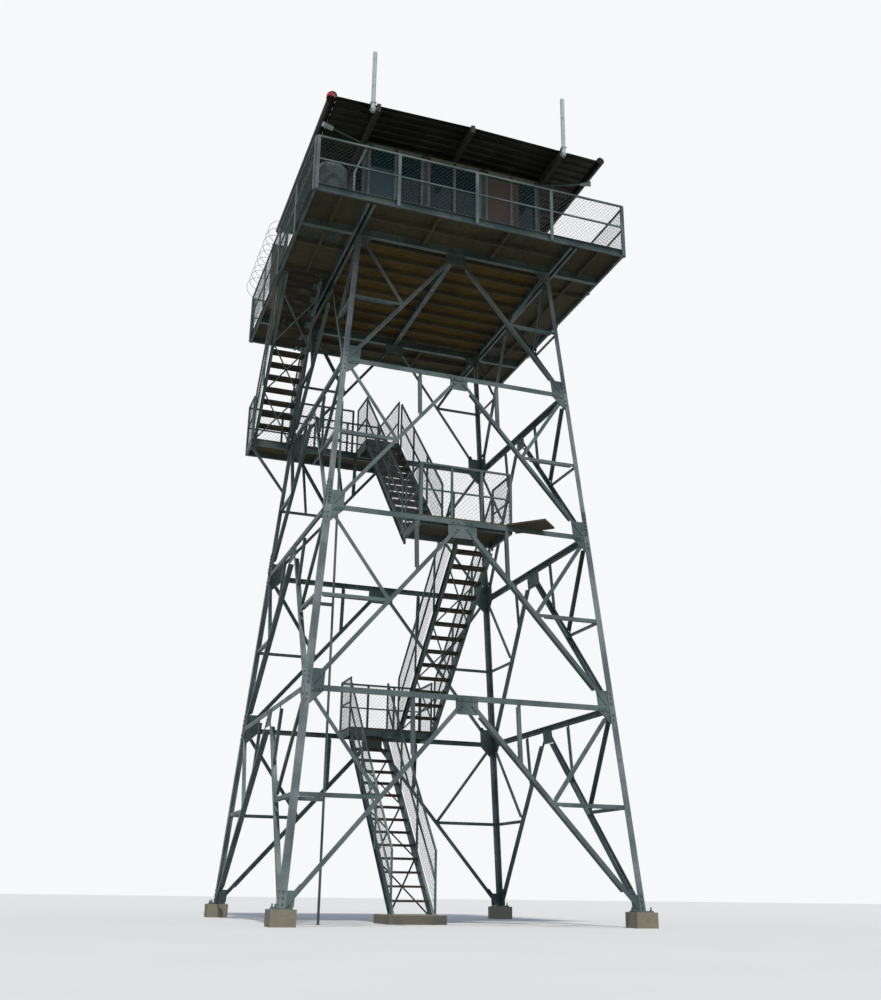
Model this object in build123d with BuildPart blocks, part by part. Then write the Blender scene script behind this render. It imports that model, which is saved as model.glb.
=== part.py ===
from build123d import *
import os
from math import atan2, cos, degrees, radians, sin, sqrt

# A four-legged steel fire lookout tower: battered angle-iron legs with K bracing, four stair
# flights between landings, and a glazed timber cab with a railed catwalk under a ribbed roof.
# The near side faces -Y. The origin is on the ground, in the middle between the four piers.

os.makedirs("parts", exist_ok=True)

# Piers and legs
PIER_TOP = 250
PIER_WIDTH = 400
BASE_HALF = 3130
BATTER = 0.0816
LEG_WIDTH = 114
UPPER_LEG_WIDTH = 90
SPLICE_RISE = 300
LEG_THICK = 13
BASE_PLATE = 300
BASE_PLATE_THICK = 20

# Side frames, with the heights of their nodes above the pier tops: rings at the first three
NODE_HEIGHTS = (3410, 6670, 9720, 12650)
NODE_INSET = 60
TOP_CUT = 50
RING_WIDTH = 100
BAR_THICK = 8
BRACE_WIDTH, BRACE_STEM = 76, 100
UPPER_BRACE_WIDTH, UPPER_BRACE_STEM = 64, 76
STRUT_WIDTH = 65
HANGER_SHARE = 0.34
BRACE_LOW_END = 200
BRACE_TOP_END = 120
BRACE_COPE = 260
EDGE_GAP = 5
CORNER_GAP = 30
GUSSET_REACH = 330
FOOT_GUSSET_REACH = 250
GUSSET_DROP = 230
MID_GUSSET_WIDTH = 460
MID_GUSSET_DROP = 290

# Platform beams and decks
BEAM_DEPTH = 150
CHANNEL_FLANGE = 50
CHANNEL_WEB = 8
PAIR_GAP = 60
PLANK = 50
DECK_OVERHANG = 1168
RIM_DEPTH = 150
JOIST_DEPTH = 100
JOIST_WIDTH = 50
JOIST_COUNT = 9
STRIP_STUB = 740
SIDE_STUB = 1400
RIM_GAP = 2
DECK_SEAM = 3
LID_LENGTH = 1550
LID_THICK = 40
LID_GAP = 10

# Cab
CAB_HALF = 1980
WALL = 100
SILL_HEIGHT = 850
WALL_HEIGHT = 2170
WINDOW_HEIGHT = 1300
WINDOW_POST = 110
WINDOW_MARGIN = 70
SIDE_MARGIN = 20
GLASS = 6
DOOR_WIDTH = 800
DOOR_THICK = 40
DOOR_STILE = 110
DOOR_MARGIN = 120

# Roof
RAFTER_WIDTH = 80
RAFTER_DEPTH = 110
RAFTER_INSET = 20
RAFTER_NOSE = 70
RAFTER_LAP = 60
SHEET_HALF = 2870
ROOF_NEAR = -3000
ROOF_FAR = 2100
ROOF_FALL = 56
RIB_PITCH = 204
RIB_HEIGHT = 38
SHEET = 3
TUBE_RADIUS = 85
TUBE_RISE = 20

# Stairs
FLIGHT_LEFT = -790
FLIGHT_RIGHT = 260
STAIR_FOOT = -1400
TOP_FLIGHT_INSET = 115
TOP_FLIGHT_HEAD = -300
HOLE_END = 1500
HOLE_MARGIN = 45
STAIR_WIDTH = 780
STRINGER_DEPTH = 180
STRINGER_FLANGE = 40
STRINGER_WEB = 8
TREAD_DEPTH = 230
TREAD_THICK = 38
NOSING = 20
TREAD_LIP = 20
RAIL_HEIGHT = 1050
RAIL_DROP = 50
RAIL_INSET = 60
RAIL_POSTS = 4
RAIL_BAR = 38
MID_RAIL = 28
STAIR_POST = 45
CATWALK_POST = 65
RAIL_THICK = 30
PAD_TOP = 150
PAD_LENGTH = 900
LANDING_FRAME = 120
LANDING_PLANK = 40
FRAME_BAR = 50
EDGE_1 = 1900
EDGE_2 = -1500
EDGE_3 = 1450
GALLERY_OUT_INSET = 190
GALLERY_LEFT_INSET = 70
RING_COVER = 60

# Catwalk rail
POST_BAYS = 4

# Small pieces
MAST_RADIUS = 44
MAST_HEIGHT = 1450
MAST_DROP = 80
LEFT_MAST_LINE = -2140
LAMP_RADIUS = 100
LAMP_BODY = 150
LAMP_X = -3030
DRUM_RADIUS = 320
DRUM_HEIGHT = 680
DRUM_GAP = 20
ARM_BLOCK = 120
ARM_DROP = 110
ARM_REACH = 1080
ARM_FORWARD = 420
ARM_RISES = (-50, 50)
ARM_RADIUS = 20
LAMP_LENGTH = 230
LAMP_WIDTH = 100
PIPE_INSET = 170
PIPE_SIDE = 400
PIPE_RADIUS = 22
PIPE_HEIGHT = 9250
PLANK_LENGTH = 900
PLANK_WIDTH = 150

SLOPE = sqrt(1 + BATTER**2)
RING_HEIGHTS = NODE_HEIGHTS[:3]
LEG_TOP = NODE_HEIGHTS[-1] - TOP_CUT
LEG_SPLICE = RING_HEIGHTS[1] + SPLICE_RISE
BEAM_BOTTOM = PIER_TOP + LEG_TOP
BEAM_TOP = BEAM_BOTTOM + BEAM_DEPTH
DECK_TOP = BEAM_TOP + PLANK
WALL_TOP = DECK_TOP + WALL_HEIGHT
SILL_TOP = DECK_TOP + SILL_HEIGHT
PAIR_HALF = PAIR_GAP / 2 + CHANNEL_FLANGE
PAIR_LINE = BASE_HALF - BATTER * LEG_TOP + PAIR_GAP / 2
PAIR_IN, PAIR_OUT = PAIR_LINE - PAIR_HALF, PAIR_LINE + PAIR_HALF
GIRDER_IN, GIRDER_OUT = PAIR_LINE - CHANNEL_FLANGE, PAIR_LINE + CHANNEL_FLANGE
DECK_HALF = BASE_HALF - BATTER * LEG_TOP + DECK_OVERHANG
TOP_FLIGHT_LEFT = TOP_FLIGHT_INSET - DECK_HALF
GALLERY_OUT = DECK_HALF - GALLERY_OUT_INSET
GALLERY_LEFT = GALLERY_LEFT_INSET - DECK_HALF
RIM_LINE = DECK_HALF - CHANNEL_FLANGE
NEAR, RIGHT, FAR, LEFT = range(4)
SIDE_NAMES = ("near", "right", "far", "left")


def save(builder, name):
    """Labels a finished sub-part and writes it."""
    builder.part.label = name
    export_step(builder.part, f"parts/{name}.step")


def half_width(height):
    """Half the tower's width over the legs' heels at a height above the pier tops."""
    return BASE_HALF - BATTER * height


def leg_width(height):
    """How wide a leg's angle is at a height above the pier tops."""
    return LEG_WIDTH if height < LEG_SPLICE else UPPER_LEG_WIDTH


def side_plane(side, depth=0.0):
    """A battered side: x level, y up the slope, z outward, set in by depth."""
    turn = radians(90 * side)
    level = Vector(sin(turn), -cos(turn), 0)
    outward = (level + Vector(0, 0, BATTER)).normalized()
    origin = level * BASE_HALF + Vector(0, 0, PIER_TOP) - outward * depth
    return Plane(origin, x_dir=(cos(turn), sin(turn), 0), z_dir=outward)


def wall_plane(side, distance):
    """An upright plane facing outward on one side of the tower, at a distance from the middle."""
    turn = radians(90 * side)
    level = Vector(sin(turn), -cos(turn), 0)
    return Plane(level * distance, x_dir=(cos(turn), sin(turn), 0), z_dir=level)


def on_side(across, height):
    """A point in a side plane."""
    return Vector(across, height * SLOPE)


def from_corner(hand, inset, height):
    """A point in a side plane, set in from the edge of the right (1) or the left (-1) leg."""
    return on_side(hand * (half_width(height) - inset), height)


def strip(start, end, width, shift=0.0):
    """Adds to the open sketch a strip from start to end, moved sideways by shift."""
    run = Vector(end) - Vector(start)
    across = Vector(-run.Y, run.X).normalized()
    middle = (Vector(start) + Vector(end)) / 2 + across * shift
    with Locations((middle.X, middle.Y)):
        Rectangle(run.length, width, rotation=degrees(atan2(run.Y, run.X)))


def trimmed(start, end, first, last):
    """The run from start to end, shortened by first and last at its ends."""
    along = (end - start).normalized()
    return start + along * first, end - along * last


def lay_angles(plane, runs, width, stem_side, stem_depth=None):
    """Adds angle bars to the open part: flanges flat on the plane, stems inward, coped at the ends."""
    stem_depth = stem_depth or width
    with BuildSketch(plane) as flanges:
        for start, end, _, _ in runs:
            strip(start, end, width)
    extrude(flanges.sketch, amount=-BAR_THICK)
    with BuildSketch(plane) as stems:
        for start, end, first, last in runs:
            strip(*trimmed(start, end, first, last), BAR_THICK, stem_side * (width - BAR_THICK) / 2)
    extrude(stems.sketch, amount=-stem_depth)


def upright_channel(plane, start, end, depth=BEAM_DEPTH, top=BEAM_TOP):
    """Adds to the open part a level channel along the plane's x, its toes on the plane's z side."""
    middle = top - depth / 2
    with BuildSketch(plane) as web:
        strip((start, middle), (end, middle), depth)
    extrude(web.sketch, amount=CHANNEL_WEB)
    with BuildSketch(plane) as flanges:
        for level in (top - CHANNEL_WEB / 2, top - depth + CHANNEL_WEB / 2):
            strip((start, level), (end, level), CHANNEL_WEB)
    extrude(flanges.sketch, amount=CHANNEL_FLANGE)


def panels():
    """The four storeys of a side frame, as heights of their lower and upper nodes."""
    return list(zip((0, *NODE_HEIGHTS[:-1]), NODE_HEIGHTS))


def brace_line(low, high):
    """Left main brace of a storey, from the leg's lower node to the middle of the level above."""
    return on_side(-half_width(low) + NODE_INSET, low), on_side(0, high)


def mirrored(point):
    """The same point on the other half of a side."""
    return Vector(-point.X, point.Y)


def stem_line(height):
    """How far from the middle the inner edge of a ring beam lies, at the top of its stem."""
    return half_width(height + RING_WIDTH / 2) - (RING_WIDTH + LEG_THICK - BAR_THICK) * SLOPE


L1_Z, L2_Z, L3_Z = (PIER_TOP + height + RING_WIDTH / 2 for height in RING_HEIGHTS)
INNER_1, INNER_2, INNER_3 = (stem_line(height) for height in RING_HEIGHTS)
GALLERY_IN = half_width(L3_Z - PIER_TOP - LANDING_FRAME)
FLIGHT_EDGE = FLIGHT_LEFT + STAIR_WIDTH
LANDING_RIGHT = FLIGHT_RIGHT + STAIR_WIDTH

# Concrete piers, one under each leg, and the steel plates that the legs stand on
corner = BASE_HALF - LEG_WIDTH / 2
CORNERS = [(x * corner, y * corner) for x, y in ((-1, -1), (1, -1), (1, 1), (-1, 1))]
with BuildPart() as piers:
    with Locations([(x, y, PIER_TOP / 2) for x, y in CORNERS]):
        Box(PIER_WIDTH, PIER_WIDTH, PIER_TOP)
save(piers, "piers")

with BuildPart() as base_plates:
    with Locations([(x, y, PIER_TOP + BASE_PLATE_THICK / 2) for x, y in CORNERS]):
        Box(BASE_PLATE, BASE_PLATE, BASE_PLATE_THICK)
save(base_plates, "base_plates")

# Legs: one long angle each, its heel at the corner, spliced to a narrower angle halfway up
LEG_NAMES = ("leg_near_left", "leg_near_right", "leg_far_right", "leg_far_left")
LEG_PARTS = ((-LEG_WIDTH, LEG_SPLICE, LEG_WIDTH), (LEG_SPLICE, LEG_TOP + LEG_WIDTH, UPPER_LEG_WIDTH))
for side, name in enumerate(LEG_NAMES):
    with BuildPart() as leg:
        for face, hand in ((side, 1), (side - 1, -1)):
            for low, high, width in LEG_PARTS:
                low_edge, high_edge = -hand * half_width(low), -hand * half_width(high)
                with BuildSketch(side_plane(face)):
                    with BuildLine():
                        Polyline(
                            on_side(low_edge, low),
                            on_side(low_edge + hand * width, low),
                            on_side(high_edge + hand * width, high),
                            on_side(high_edge, high),
                            close=True,
                        )
                    make_face()
                extrude(amount=-LEG_THICK)
        split(bisect_by=Plane.XY.offset(BEAM_BOTTOM), keep=Keep.BOTTOM)
        split(bisect_by=Plane.XY.offset(PIER_TOP + BASE_PLATE_THICK), keep=Keep.TOP)
    save(leg, name)

# Ring beams: an angle on each side at every landing level, on the outer face of the gusset plates
with BuildPart() as rings:
    for side in range(4):
        runs = []
        for height in RING_HEIGHTS:
            end = on_side(half_width(height) - leg_width(height) - EDGE_GAP, height)
            cope = GUSSET_REACH - leg_width(height)
            runs.append((mirrored(end), end, cope, cope))
        lay_angles(side_plane(side, LEG_THICK - BAR_THICK), runs, RING_WIDTH, stem_side=1)
save(rings, "ring_beams")

# Main braces: an inverted V in each storey, from the lower corners to the level above
BRACE_SIZES = (
    (panels()[:2], BRACE_WIDTH, BRACE_STEM),
    (panels()[2:], UPPER_BRACE_WIDTH, UPPER_BRACE_STEM),
)
for side, side_name in enumerate(SIDE_NAMES):
    with BuildPart() as braces:
        for storeys, width, stem in BRACE_SIZES:
            runs = []
            for low, high in storeys:
                start, end = trimmed(*brace_line(low, high), BRACE_LOW_END, BRACE_TOP_END)
                runs.append((start, end, BRACE_COPE, BRACE_COPE))
                runs.append((mirrored(end), mirrored(start), BRACE_COPE, BRACE_COPE))
            lay_angles(side_plane(side, LEG_THICK - BAR_THICK), runs, width, -1, stem)
    save(braces, f"braces_{side_name}")

# Struts: level bars from each leg to the middle of the main brace
with BuildPart() as struts:
    for side in range(4):
        runs = []
        for low, high in panels():
            start, end = brace_line(low, high)
            knee = (start + end) / 2
            height = knee.Y / SLOPE
            outer = on_side(-half_width(height) + CORNER_GAP, height)
            inner = knee - Vector(10, 0)
            runs.append((outer, inner, LEG_WIDTH, 2 * STRUT_WIDTH + 40))
            runs.append((mirrored(inner), mirrored(outer), 2 * STRUT_WIDTH + 40, LEG_WIDTH))
        lay_angles(side_plane(side, LEG_THICK), runs, STRUT_WIDTH, stem_side=-1)
save(struts, "panel_struts")

# Sub-diagonals: from each leg's upper node down to the middle of the main brace
with BuildPart() as diagonals:
    for side in range(4):
        runs = []
        for low, high in panels():
            start, end = brace_line(low, high)
            knee = (start + end) / 2
            node = on_side(-half_width(high) + NODE_INSET, high)
            outer, inner = trimmed(node, knee, LEG_WIDTH, BRACE_WIDTH / 4)
            runs.append((outer, inner, LEG_WIDTH, BRACE_WIDTH))
            runs.append((mirrored(inner), mirrored(outer), BRACE_WIDTH, LEG_WIDTH))
        lay_angles(side_plane(side, LEG_THICK + BAR_THICK), runs, STRUT_WIDTH, stem_side=1)
save(diagonals, "sub_diagonals")

# Hangers: short uprights from the ring beam down to the main braces, either side of the middle
with BuildPart() as hangers:
    for side in range(4):
        runs = []
        for low, high in panels()[:3]:
            start, end = brace_line(low, high)
            across = HANGER_SHARE * half_width(high)
            share = (end.X - -across) / (end.X - start.X)
            foot = end + (start - end) * share + Vector(0, 2 * EDGE_GAP)
            head = Vector(foot.X, end.Y)
            runs.append((foot, head, BRACE_WIDTH, BRACE_WIDTH))
            runs.append((mirrored(foot), mirrored(head), BRACE_WIDTH, BRACE_WIDTH))
        lay_angles(side_plane(side, LEG_THICK), runs, STRUT_WIDTH, stem_side=1)
save(hangers, "ring_hangers")

# Gusset plates: behind the leg flanges at every node, and under the middle of each level
with BuildPart() as gussets:
    clip = LEG_TOP + TOP_CUT / 2
    for side in range(4):
        with BuildSketch(side_plane(side, LEG_THICK)):
            for height in (0, *NODE_HEIGHTS):
                reach = GUSSET_REACH if height else FOOT_GUSSET_REACH
                top = min(height + reach, clip)
                drop = height - (GUSSET_DROP if height else -BASE_PLATE_THICK - EDGE_GAP)
                outline = (
                    (CORNER_GAP, drop),
                    (LEG_WIDTH + 60, drop),
                    (reach, max(drop, height - RING_WIDTH / 2)),
                    (reach, min(top, height + GUSSET_DROP)),
                    (LEG_WIDTH + 60, top),
                    (CORNER_GAP, top),
                )
                for hand in (1, -1):
                    with BuildLine():
                        Polyline(*(from_corner(hand, *point) for point in outline), close=True)
                    make_face()
            for height in NODE_HEIGHTS:
                half = MID_GUSSET_WIDTH / 2
                head = min(height + RING_WIDTH / 2 - BAR_THICK - 2, clip)
                with BuildLine():
                    Polyline(
                        on_side(-half, head),
                        on_side(half, head),
                        on_side(half, height - MID_GUSSET_DROP * 0.6),
                        on_side(half * 0.72, height - MID_GUSSET_DROP),
                        on_side(-half * 0.72, height - MID_GUSSET_DROP),
                        on_side(-half, height - MID_GUSSET_DROP * 0.6),
                        close=True,
                    )
                make_face()
        extrude(amount=-BAR_THICK)
    split(bisect_by=Plane.XY.offset(BEAM_BOTTOM), keep=Keep.BOTTOM)
save(gussets, "gusset_plates")

# Landings: an angle frame under planks; each hangs on the ring beam of its side


def frame_box(x_low, x_high, y_low, y_high, top):
    """Adds to the open part a rectangular frame of flat bars on edge, with one middle bar."""
    width, depth = x_high - x_low, y_high - y_low
    with BuildSketch(Plane.XY.offset(top)) as frame:
        with Locations(((x_low + x_high) / 2, (y_low + y_high) / 2)):
            Rectangle(width, depth)
            Rectangle(width - 2 * FRAME_BAR, depth - 2 * FRAME_BAR, mode=Mode.SUBTRACT)
            Rectangle(FRAME_BAR, depth)
    extrude(frame.sketch, amount=-LANDING_FRAME)


with BuildPart() as landing_frames:
    frame_box(FLIGHT_LEFT, LANDING_RIGHT, EDGE_1, INNER_1, L1_Z)
    frame_box(FLIGHT_LEFT, LANDING_RIGHT, -INNER_2, EDGE_2, L2_Z)
    frame_box(FLIGHT_LEFT, FLIGHT_EDGE, EDGE_3, INNER_3, L3_Z)
    frame_box(GALLERY_LEFT, FLIGHT_EDGE, GALLERY_IN, GALLERY_OUT, L3_Z)
save(landing_frames, "landing_frames")

with BuildPart() as landing_decks:
    for x_low, x_high, y_low, y_high, top in (
        (FLIGHT_LEFT, LANDING_RIGHT, EDGE_1, INNER_1 + RING_COVER, L1_Z),
        (FLIGHT_LEFT, LANDING_RIGHT, -INNER_2 - RING_COVER, EDGE_2, L2_Z),
        (FLIGHT_LEFT, FLIGHT_EDGE, EDGE_3, GALLERY_IN, L3_Z),
        (GALLERY_LEFT, FLIGHT_EDGE, GALLERY_IN, GALLERY_OUT, L3_Z),
    ):
        with BuildSketch(Plane.XY.offset(top)):
            with Locations(((x_low + x_high) / 2, (y_low + y_high) / 2)):
                Rectangle(x_high - x_low, y_high - y_low)
        extrude(amount=LANDING_PLANK)
save(landing_decks, "landing_decks")

# Stair flights: left edge, foot and head of the nosing line as (y, z), and number of rises
FLIGHTS = (
    (FLIGHT_LEFT, (STAIR_FOOT, PAD_TOP), (EDGE_1, L1_Z + LANDING_PLANK), 15),
    (FLIGHT_RIGHT, (EDGE_1, L1_Z + LANDING_PLANK), (EDGE_2, L2_Z + LANDING_PLANK), 14),
    (FLIGHT_LEFT, (EDGE_2, L2_Z + LANDING_PLANK), (EDGE_3, L3_Z + LANDING_PLANK), 13),
    (TOP_FLIGHT_LEFT, (GALLERY_IN, L3_Z + LANDING_PLANK), (TOP_FLIGHT_HEAD, DECK_TOP), 14),
)


def slope_band(foot, head, top, thick, floor=None):
    """Adds to the open sketch a band that runs below the nosing line, cut off level at floor."""
    run = head - foot
    high_edge, low_edge = foot - Vector(0, top), foot - Vector(0, top + thick)
    if floor is not None:
        high_edge += run * (top / run.Y)
        low_edge += run * ((top + thick) / run.Y)
    high_end, low_end = head - Vector(0, top), head - Vector(0, top + thick)
    with BuildLine() as outline:
        Polyline(high_edge, high_end, low_end, low_edge, close=True)
    make_face(outline.edges())


for number, (left, start, end, risers) in enumerate(FLIGHTS, 1):
    foot, head = Vector(start), Vector(end)
    run = head - foot
    pitch = atan2(run.Y, abs(run.X))
    drop = STRINGER_DEPTH / cos(pitch)
    edge = STRINGER_WEB / cos(pitch)
    floor = PAD_TOP if foot.Y == PAD_TOP else None
    right = left + STAIR_WIDTH

    with BuildPart() as stringers:
        for x, hand in ((left + STRINGER_FLANGE, -1), (right - STRINGER_FLANGE, 1)):
            with BuildSketch(Plane.YZ.offset(x)):
                slope_band(foot, head, TREAD_LIP, drop, floor)
            extrude(amount=-hand * STRINGER_WEB)
            with BuildSketch(Plane.YZ.offset(x)):
                slope_band(foot, head, TREAD_LIP, edge, floor)
                slope_band(foot, head, TREAD_LIP + drop - edge, edge, floor)
            extrude(amount=hand * STRINGER_FLANGE)
    save(stringers, f"stringers_{number}")

    with BuildPart() as treads:
        inner = STAIR_WIDTH - 2 * STRINGER_FLANGE - 2 * STRINGER_WEB
        forward = 1 if run.X > 0 else -1
        for step in range(1, risers):
            nosing = foot + run * (step / risers)
            y = nosing.X + forward * (TREAD_DEPTH / 2 - NOSING)
            with Locations((left + STAIR_WIDTH / 2, y, nosing.Y - TREAD_THICK / 2)):
                Box(inner, TREAD_DEPTH, TREAD_THICK)
    save(treads, f"treads_{number}")

# Stair rails: a flat frame outside each stringer, as steep as its flight
with BuildPart() as stair_rails:
    for left, start, end, risers in FLIGHTS:
        foot, head = Vector(start), Vector(end)
        run = head - foot
        inset = run * (RAIL_INSET / abs(run.X))
        low, high = foot + inset, head - inset
        top = Vector(0, RAIL_HEIGHT - RAIL_DROP)
        for x in (left - RAIL_THICK, left + STAIR_WIDTH):
            with BuildSketch(Plane.YZ.offset(x)):
                strip(low + top, high + top, RAIL_BAR)
                strip(low + top / 2, high + top / 2, MID_RAIL)
                for count in range(RAIL_POSTS):
                    nosing = low + (high - low) * (count / (RAIL_POSTS - 1))
                    base = Vector(nosing.X, max(nosing.Y - STRINGER_DEPTH * 0.7, PAD_TOP))
                    strip(base, nosing + top, STAIR_POST)
            extrude(amount=RAIL_THICK)
save(stair_rails, "stair_rails")

# Foot pad of the first flight
with BuildPart() as pad:
    with Locations((FLIGHT_LEFT + STAIR_WIDTH / 2, STAIR_FOOT + PAD_LENGTH / 4, PAD_TOP / 2)):
        Box(STAIR_WIDTH + 2 * RAIL_THICK + 200, PAD_LENGTH, PAD_TOP)
save(pad, "stair_pad")


def rail_panel(plane, start, end, base, top, posts, post_width=STAIR_POST):
    """Adds to the open part a flat rail: posts, a top rail and a middle rail."""
    with BuildSketch(plane) as panel:
        strip((start, top - RAIL_BAR / 2), (end, top - RAIL_BAR / 2), RAIL_BAR)
        middle = top - RAIL_HEIGHT / 2
        strip((start, middle), (end, middle), MID_RAIL)
        span = end - start - post_width
        for count in range(posts):
            x = start + post_width / 2 + span * count / (posts - 1)
            strip((x, base), (x, top), post_width)
    extrude(panel.sketch, amount=RAIL_THICK)


# Landing rails stand on the outside of the landing frames
with BuildPart() as landing_rails:
    for top, runs in (
        (L1_Z, ((FAR, INNER_1 - RAIL_THICK, -LANDING_RIGHT, -FLIGHT_LEFT, 4),)),
        (L2_Z, ((NEAR, INNER_2 - RAIL_THICK, FLIGHT_LEFT, LANDING_RIGHT, 4),)),
        (
            L3_Z,
            (
                (FAR, GALLERY_OUT - RAIL_THICK, -FLIGHT_EDGE, -GALLERY_LEFT, 5),
                (NEAR, -GALLERY_IN - RAIL_THICK, TOP_FLIGHT_LEFT + STAIR_WIDTH + 60, FLIGHT_LEFT - 60, 3),
            ),
        ),
    ):
        for side, distance, start, end, posts in runs:
            rail_panel(
                wall_plane(side, distance),
                start,
                end,
                top + LANDING_PLANK,
                top + LANDING_PLANK + RAIL_HEIGHT,
                posts,
            )
    END_GAP = RAIL_THICK + 5
    for top, side, distance, start, end in (
        (L1_Z, LEFT, -FLIGHT_LEFT - RAIL_THICK, -INNER_1 + END_GAP, -EDGE_1 - END_GAP),
        (L1_Z, RIGHT, LANDING_RIGHT - RAIL_THICK, EDGE_1 + END_GAP, INNER_1 - END_GAP),
        (L2_Z, LEFT, -FLIGHT_LEFT - RAIL_THICK, -EDGE_2 + END_GAP, INNER_2 - END_GAP),
        (L2_Z, RIGHT, LANDING_RIGHT - RAIL_THICK, -INNER_2 + END_GAP, EDGE_2 - END_GAP),
        (L3_Z, LEFT, -GALLERY_LEFT - RAIL_THICK, -GALLERY_OUT + END_GAP, -GALLERY_IN - END_GAP),
        (
            L3_Z,
            RIGHT,
            FLIGHT_EDGE - RAIL_THICK,
            EDGE_3 + END_GAP,
            GALLERY_OUT - END_GAP,
        ),
        (L3_Z, LEFT, -FLIGHT_LEFT - RAIL_THICK, -GALLERY_IN + END_GAP, -EDGE_3 - END_GAP),
    ):
        rail_panel(
            wall_plane(side, distance),
            start,
            end,
            top + LANDING_PLANK,
            top + LANDING_PLANK + RAIL_HEIGHT,
            2,
        )
save(landing_rails, "landing_rails")

# Knee props under the outer gallery of landing 3: three off the far side, one off the left leg
PROP_DEPTH = 80
KNEE_HEIGHT = (RING_HEIGHTS[1] + RING_HEIGHTS[2]) / 2
LEG_PROP_HEIGHT = KNEE_HEIGHT + 405
BRACE_PROP_X = -1000
brace_share = 1 + BRACE_PROP_X / (half_width(RING_HEIGHTS[1]) - NODE_INSET)
brace_height = RING_HEIGHTS[1] + (RING_HEIGHTS[2] - RING_HEIGHTS[1]) * brace_share
PROP_FEET = (
    (-1850, KNEE_HEIGHT, LEG_THICK),
    (BRACE_PROP_X, brace_height - PROP_DEPTH / 2, LEG_THICK - BAR_THICK),
    (-60, RING_HEIGHTS[2] - 265, LEG_THICK),
)
with BuildPart() as props:
    prop_head = L3_Z - LANDING_FRAME
    for x, height, inset in PROP_FEET:
        with BuildSketch(Plane.YZ.offset(x - FRAME_BAR / 2)):
            with BuildLine():
                Polyline(
                    (half_width(height) - inset * SLOPE, PIER_TOP + height),
                    (half_width(height + PROP_DEPTH) - inset * SLOPE, PIER_TOP + height + PROP_DEPTH),
                    (GALLERY_OUT - PROP_DEPTH, prop_head),
                    (GALLERY_OUT, prop_head),
                    close=True,
                )
            make_face()
        extrude(amount=FRAME_BAR)
    leg_line = half_width(LEG_PROP_HEIGHT)
    with BuildSketch(wall_plane(FAR, leg_line)):
        low = PIER_TOP + LEG_PROP_HEIGHT
        with BuildLine():
            Polyline(
                (leg_line - UPPER_LEG_WIDTH / 2, low),
                (leg_line - UPPER_LEG_WIDTH / 2, low + PROP_DEPTH),
                (-GALLERY_LEFT - PROP_DEPTH, prop_head),
                (-GALLERY_LEFT, prop_head),
                close=True,
            )
        make_face()
    extrude(amount=FRAME_BAR)
save(props, "gallery_props")

# Platform beams: a channel pair along Y over the legs of each side, and a double one midway
with BuildPart() as platform_beams:
    for line in (-PAIR_LINE, PAIR_LINE):
        for side, shift in ((RIGHT, line + PAIR_GAP / 2), (LEFT, -line + PAIR_GAP / 2)):
            upright_channel(wall_plane(side, shift), -RIM_LINE, RIM_LINE)
    for side in (RIGHT, LEFT):
        upright_channel(wall_plane(side, 0), -GIRDER_IN, GIRDER_IN)
save(platform_beams, "platform_beams")

# Girders across: two channels back to back over the near and the far legs, rim to rim
with BuildPart() as girders:
    for start, end in ((-RIM_LINE, -PAIR_OUT), (-PAIR_IN, PAIR_IN), (PAIR_OUT, RIM_LINE)):
        for near, far in ((PAIR_LINE, -PAIR_LINE), (-PAIR_LINE, PAIR_LINE)):
            upright_channel(wall_plane(NEAR, near), start, end)
            upright_channel(wall_plane(FAR, far), start, end)
save(girders, "cross_girders")


def joist(x_low, x_high, y_low, y_high):
    """Adds to the open part a level timber joist close under the decks."""
    with Locations(((x_low + x_high) / 2, (y_low + y_high) / 2, BEAM_TOP - JOIST_DEPTH / 2)):
        Box(x_high - x_low, y_high - y_low, JOIST_DEPTH)


def free_stretches(stops):
    """The stretches left free between stops, each given as its low and its high edge."""
    return [(below[1], above[0]) for below, above in zip(stops, stops[1:])]


# Joists: close ones under the cab, a middle line in each catwalk strip and stubs across it
with BuildPart() as joists:
    half = JOIST_WIDTH / 2
    spacing = 2 * GIRDER_IN / JOIST_COUNT
    for count in range(JOIST_COUNT):
        y = -GIRDER_IN + spacing * (count + 0.5)
        joist(-PAIR_IN, -CHANNEL_FLANGE, y - half, y + half)
        joist(CHANNEL_FLANGE, PAIR_IN, y - half, y + half)
    stubs = [(line - half, line + half) for line in (-STRIP_STUB, STRIP_STUB)]
    middle = (GIRDER_OUT + RIM_LINE) / 2
    for low, high in ((-RIM_LINE, -GIRDER_OUT), (GIRDER_OUT, RIM_LINE)):
        for left, right in stubs:
            joist(left, right, low, high)
        y = middle if low > 0 else -middle
        for left, right in free_stretches([(0, -PAIR_IN), *stubs, (PAIR_IN, 0)]):
            joist(left, right, y - half, y + half)
    ends = [(0, -RIM_LINE), (-GIRDER_OUT, -GIRDER_IN)], [(GIRDER_IN, GIRDER_OUT), (RIM_LINE, 0)]
    near_stub, far_stub = [(y - half, y + half) for y in (-SIDE_STUB, SIDE_STUB)]
    hole = (TOP_FLIGHT_HEAD - JOIST_WIDTH, HOLE_END + JOIST_WIDTH)
    trimmers = [(hole[0], TOP_FLIGHT_HEAD), (HOLE_END, hole[1])]
    for low, high, stops, crossing in (
        (-RIM_LINE, -PAIR_OUT, [near_stub, hole], [near_stub, *trimmers]),
        (PAIR_OUT, RIM_LINE, [near_stub, far_stub], [near_stub, far_stub]),
    ):
        for near, far in crossing:
            joist(low, high, near, far)
        x = (low + high) / 2
        for near, far in free_stretches([*ends[0], *stops, *ends[1]]):
            joist(x - half, x + half, near, far)
save(joists, "floor_joists")

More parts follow.
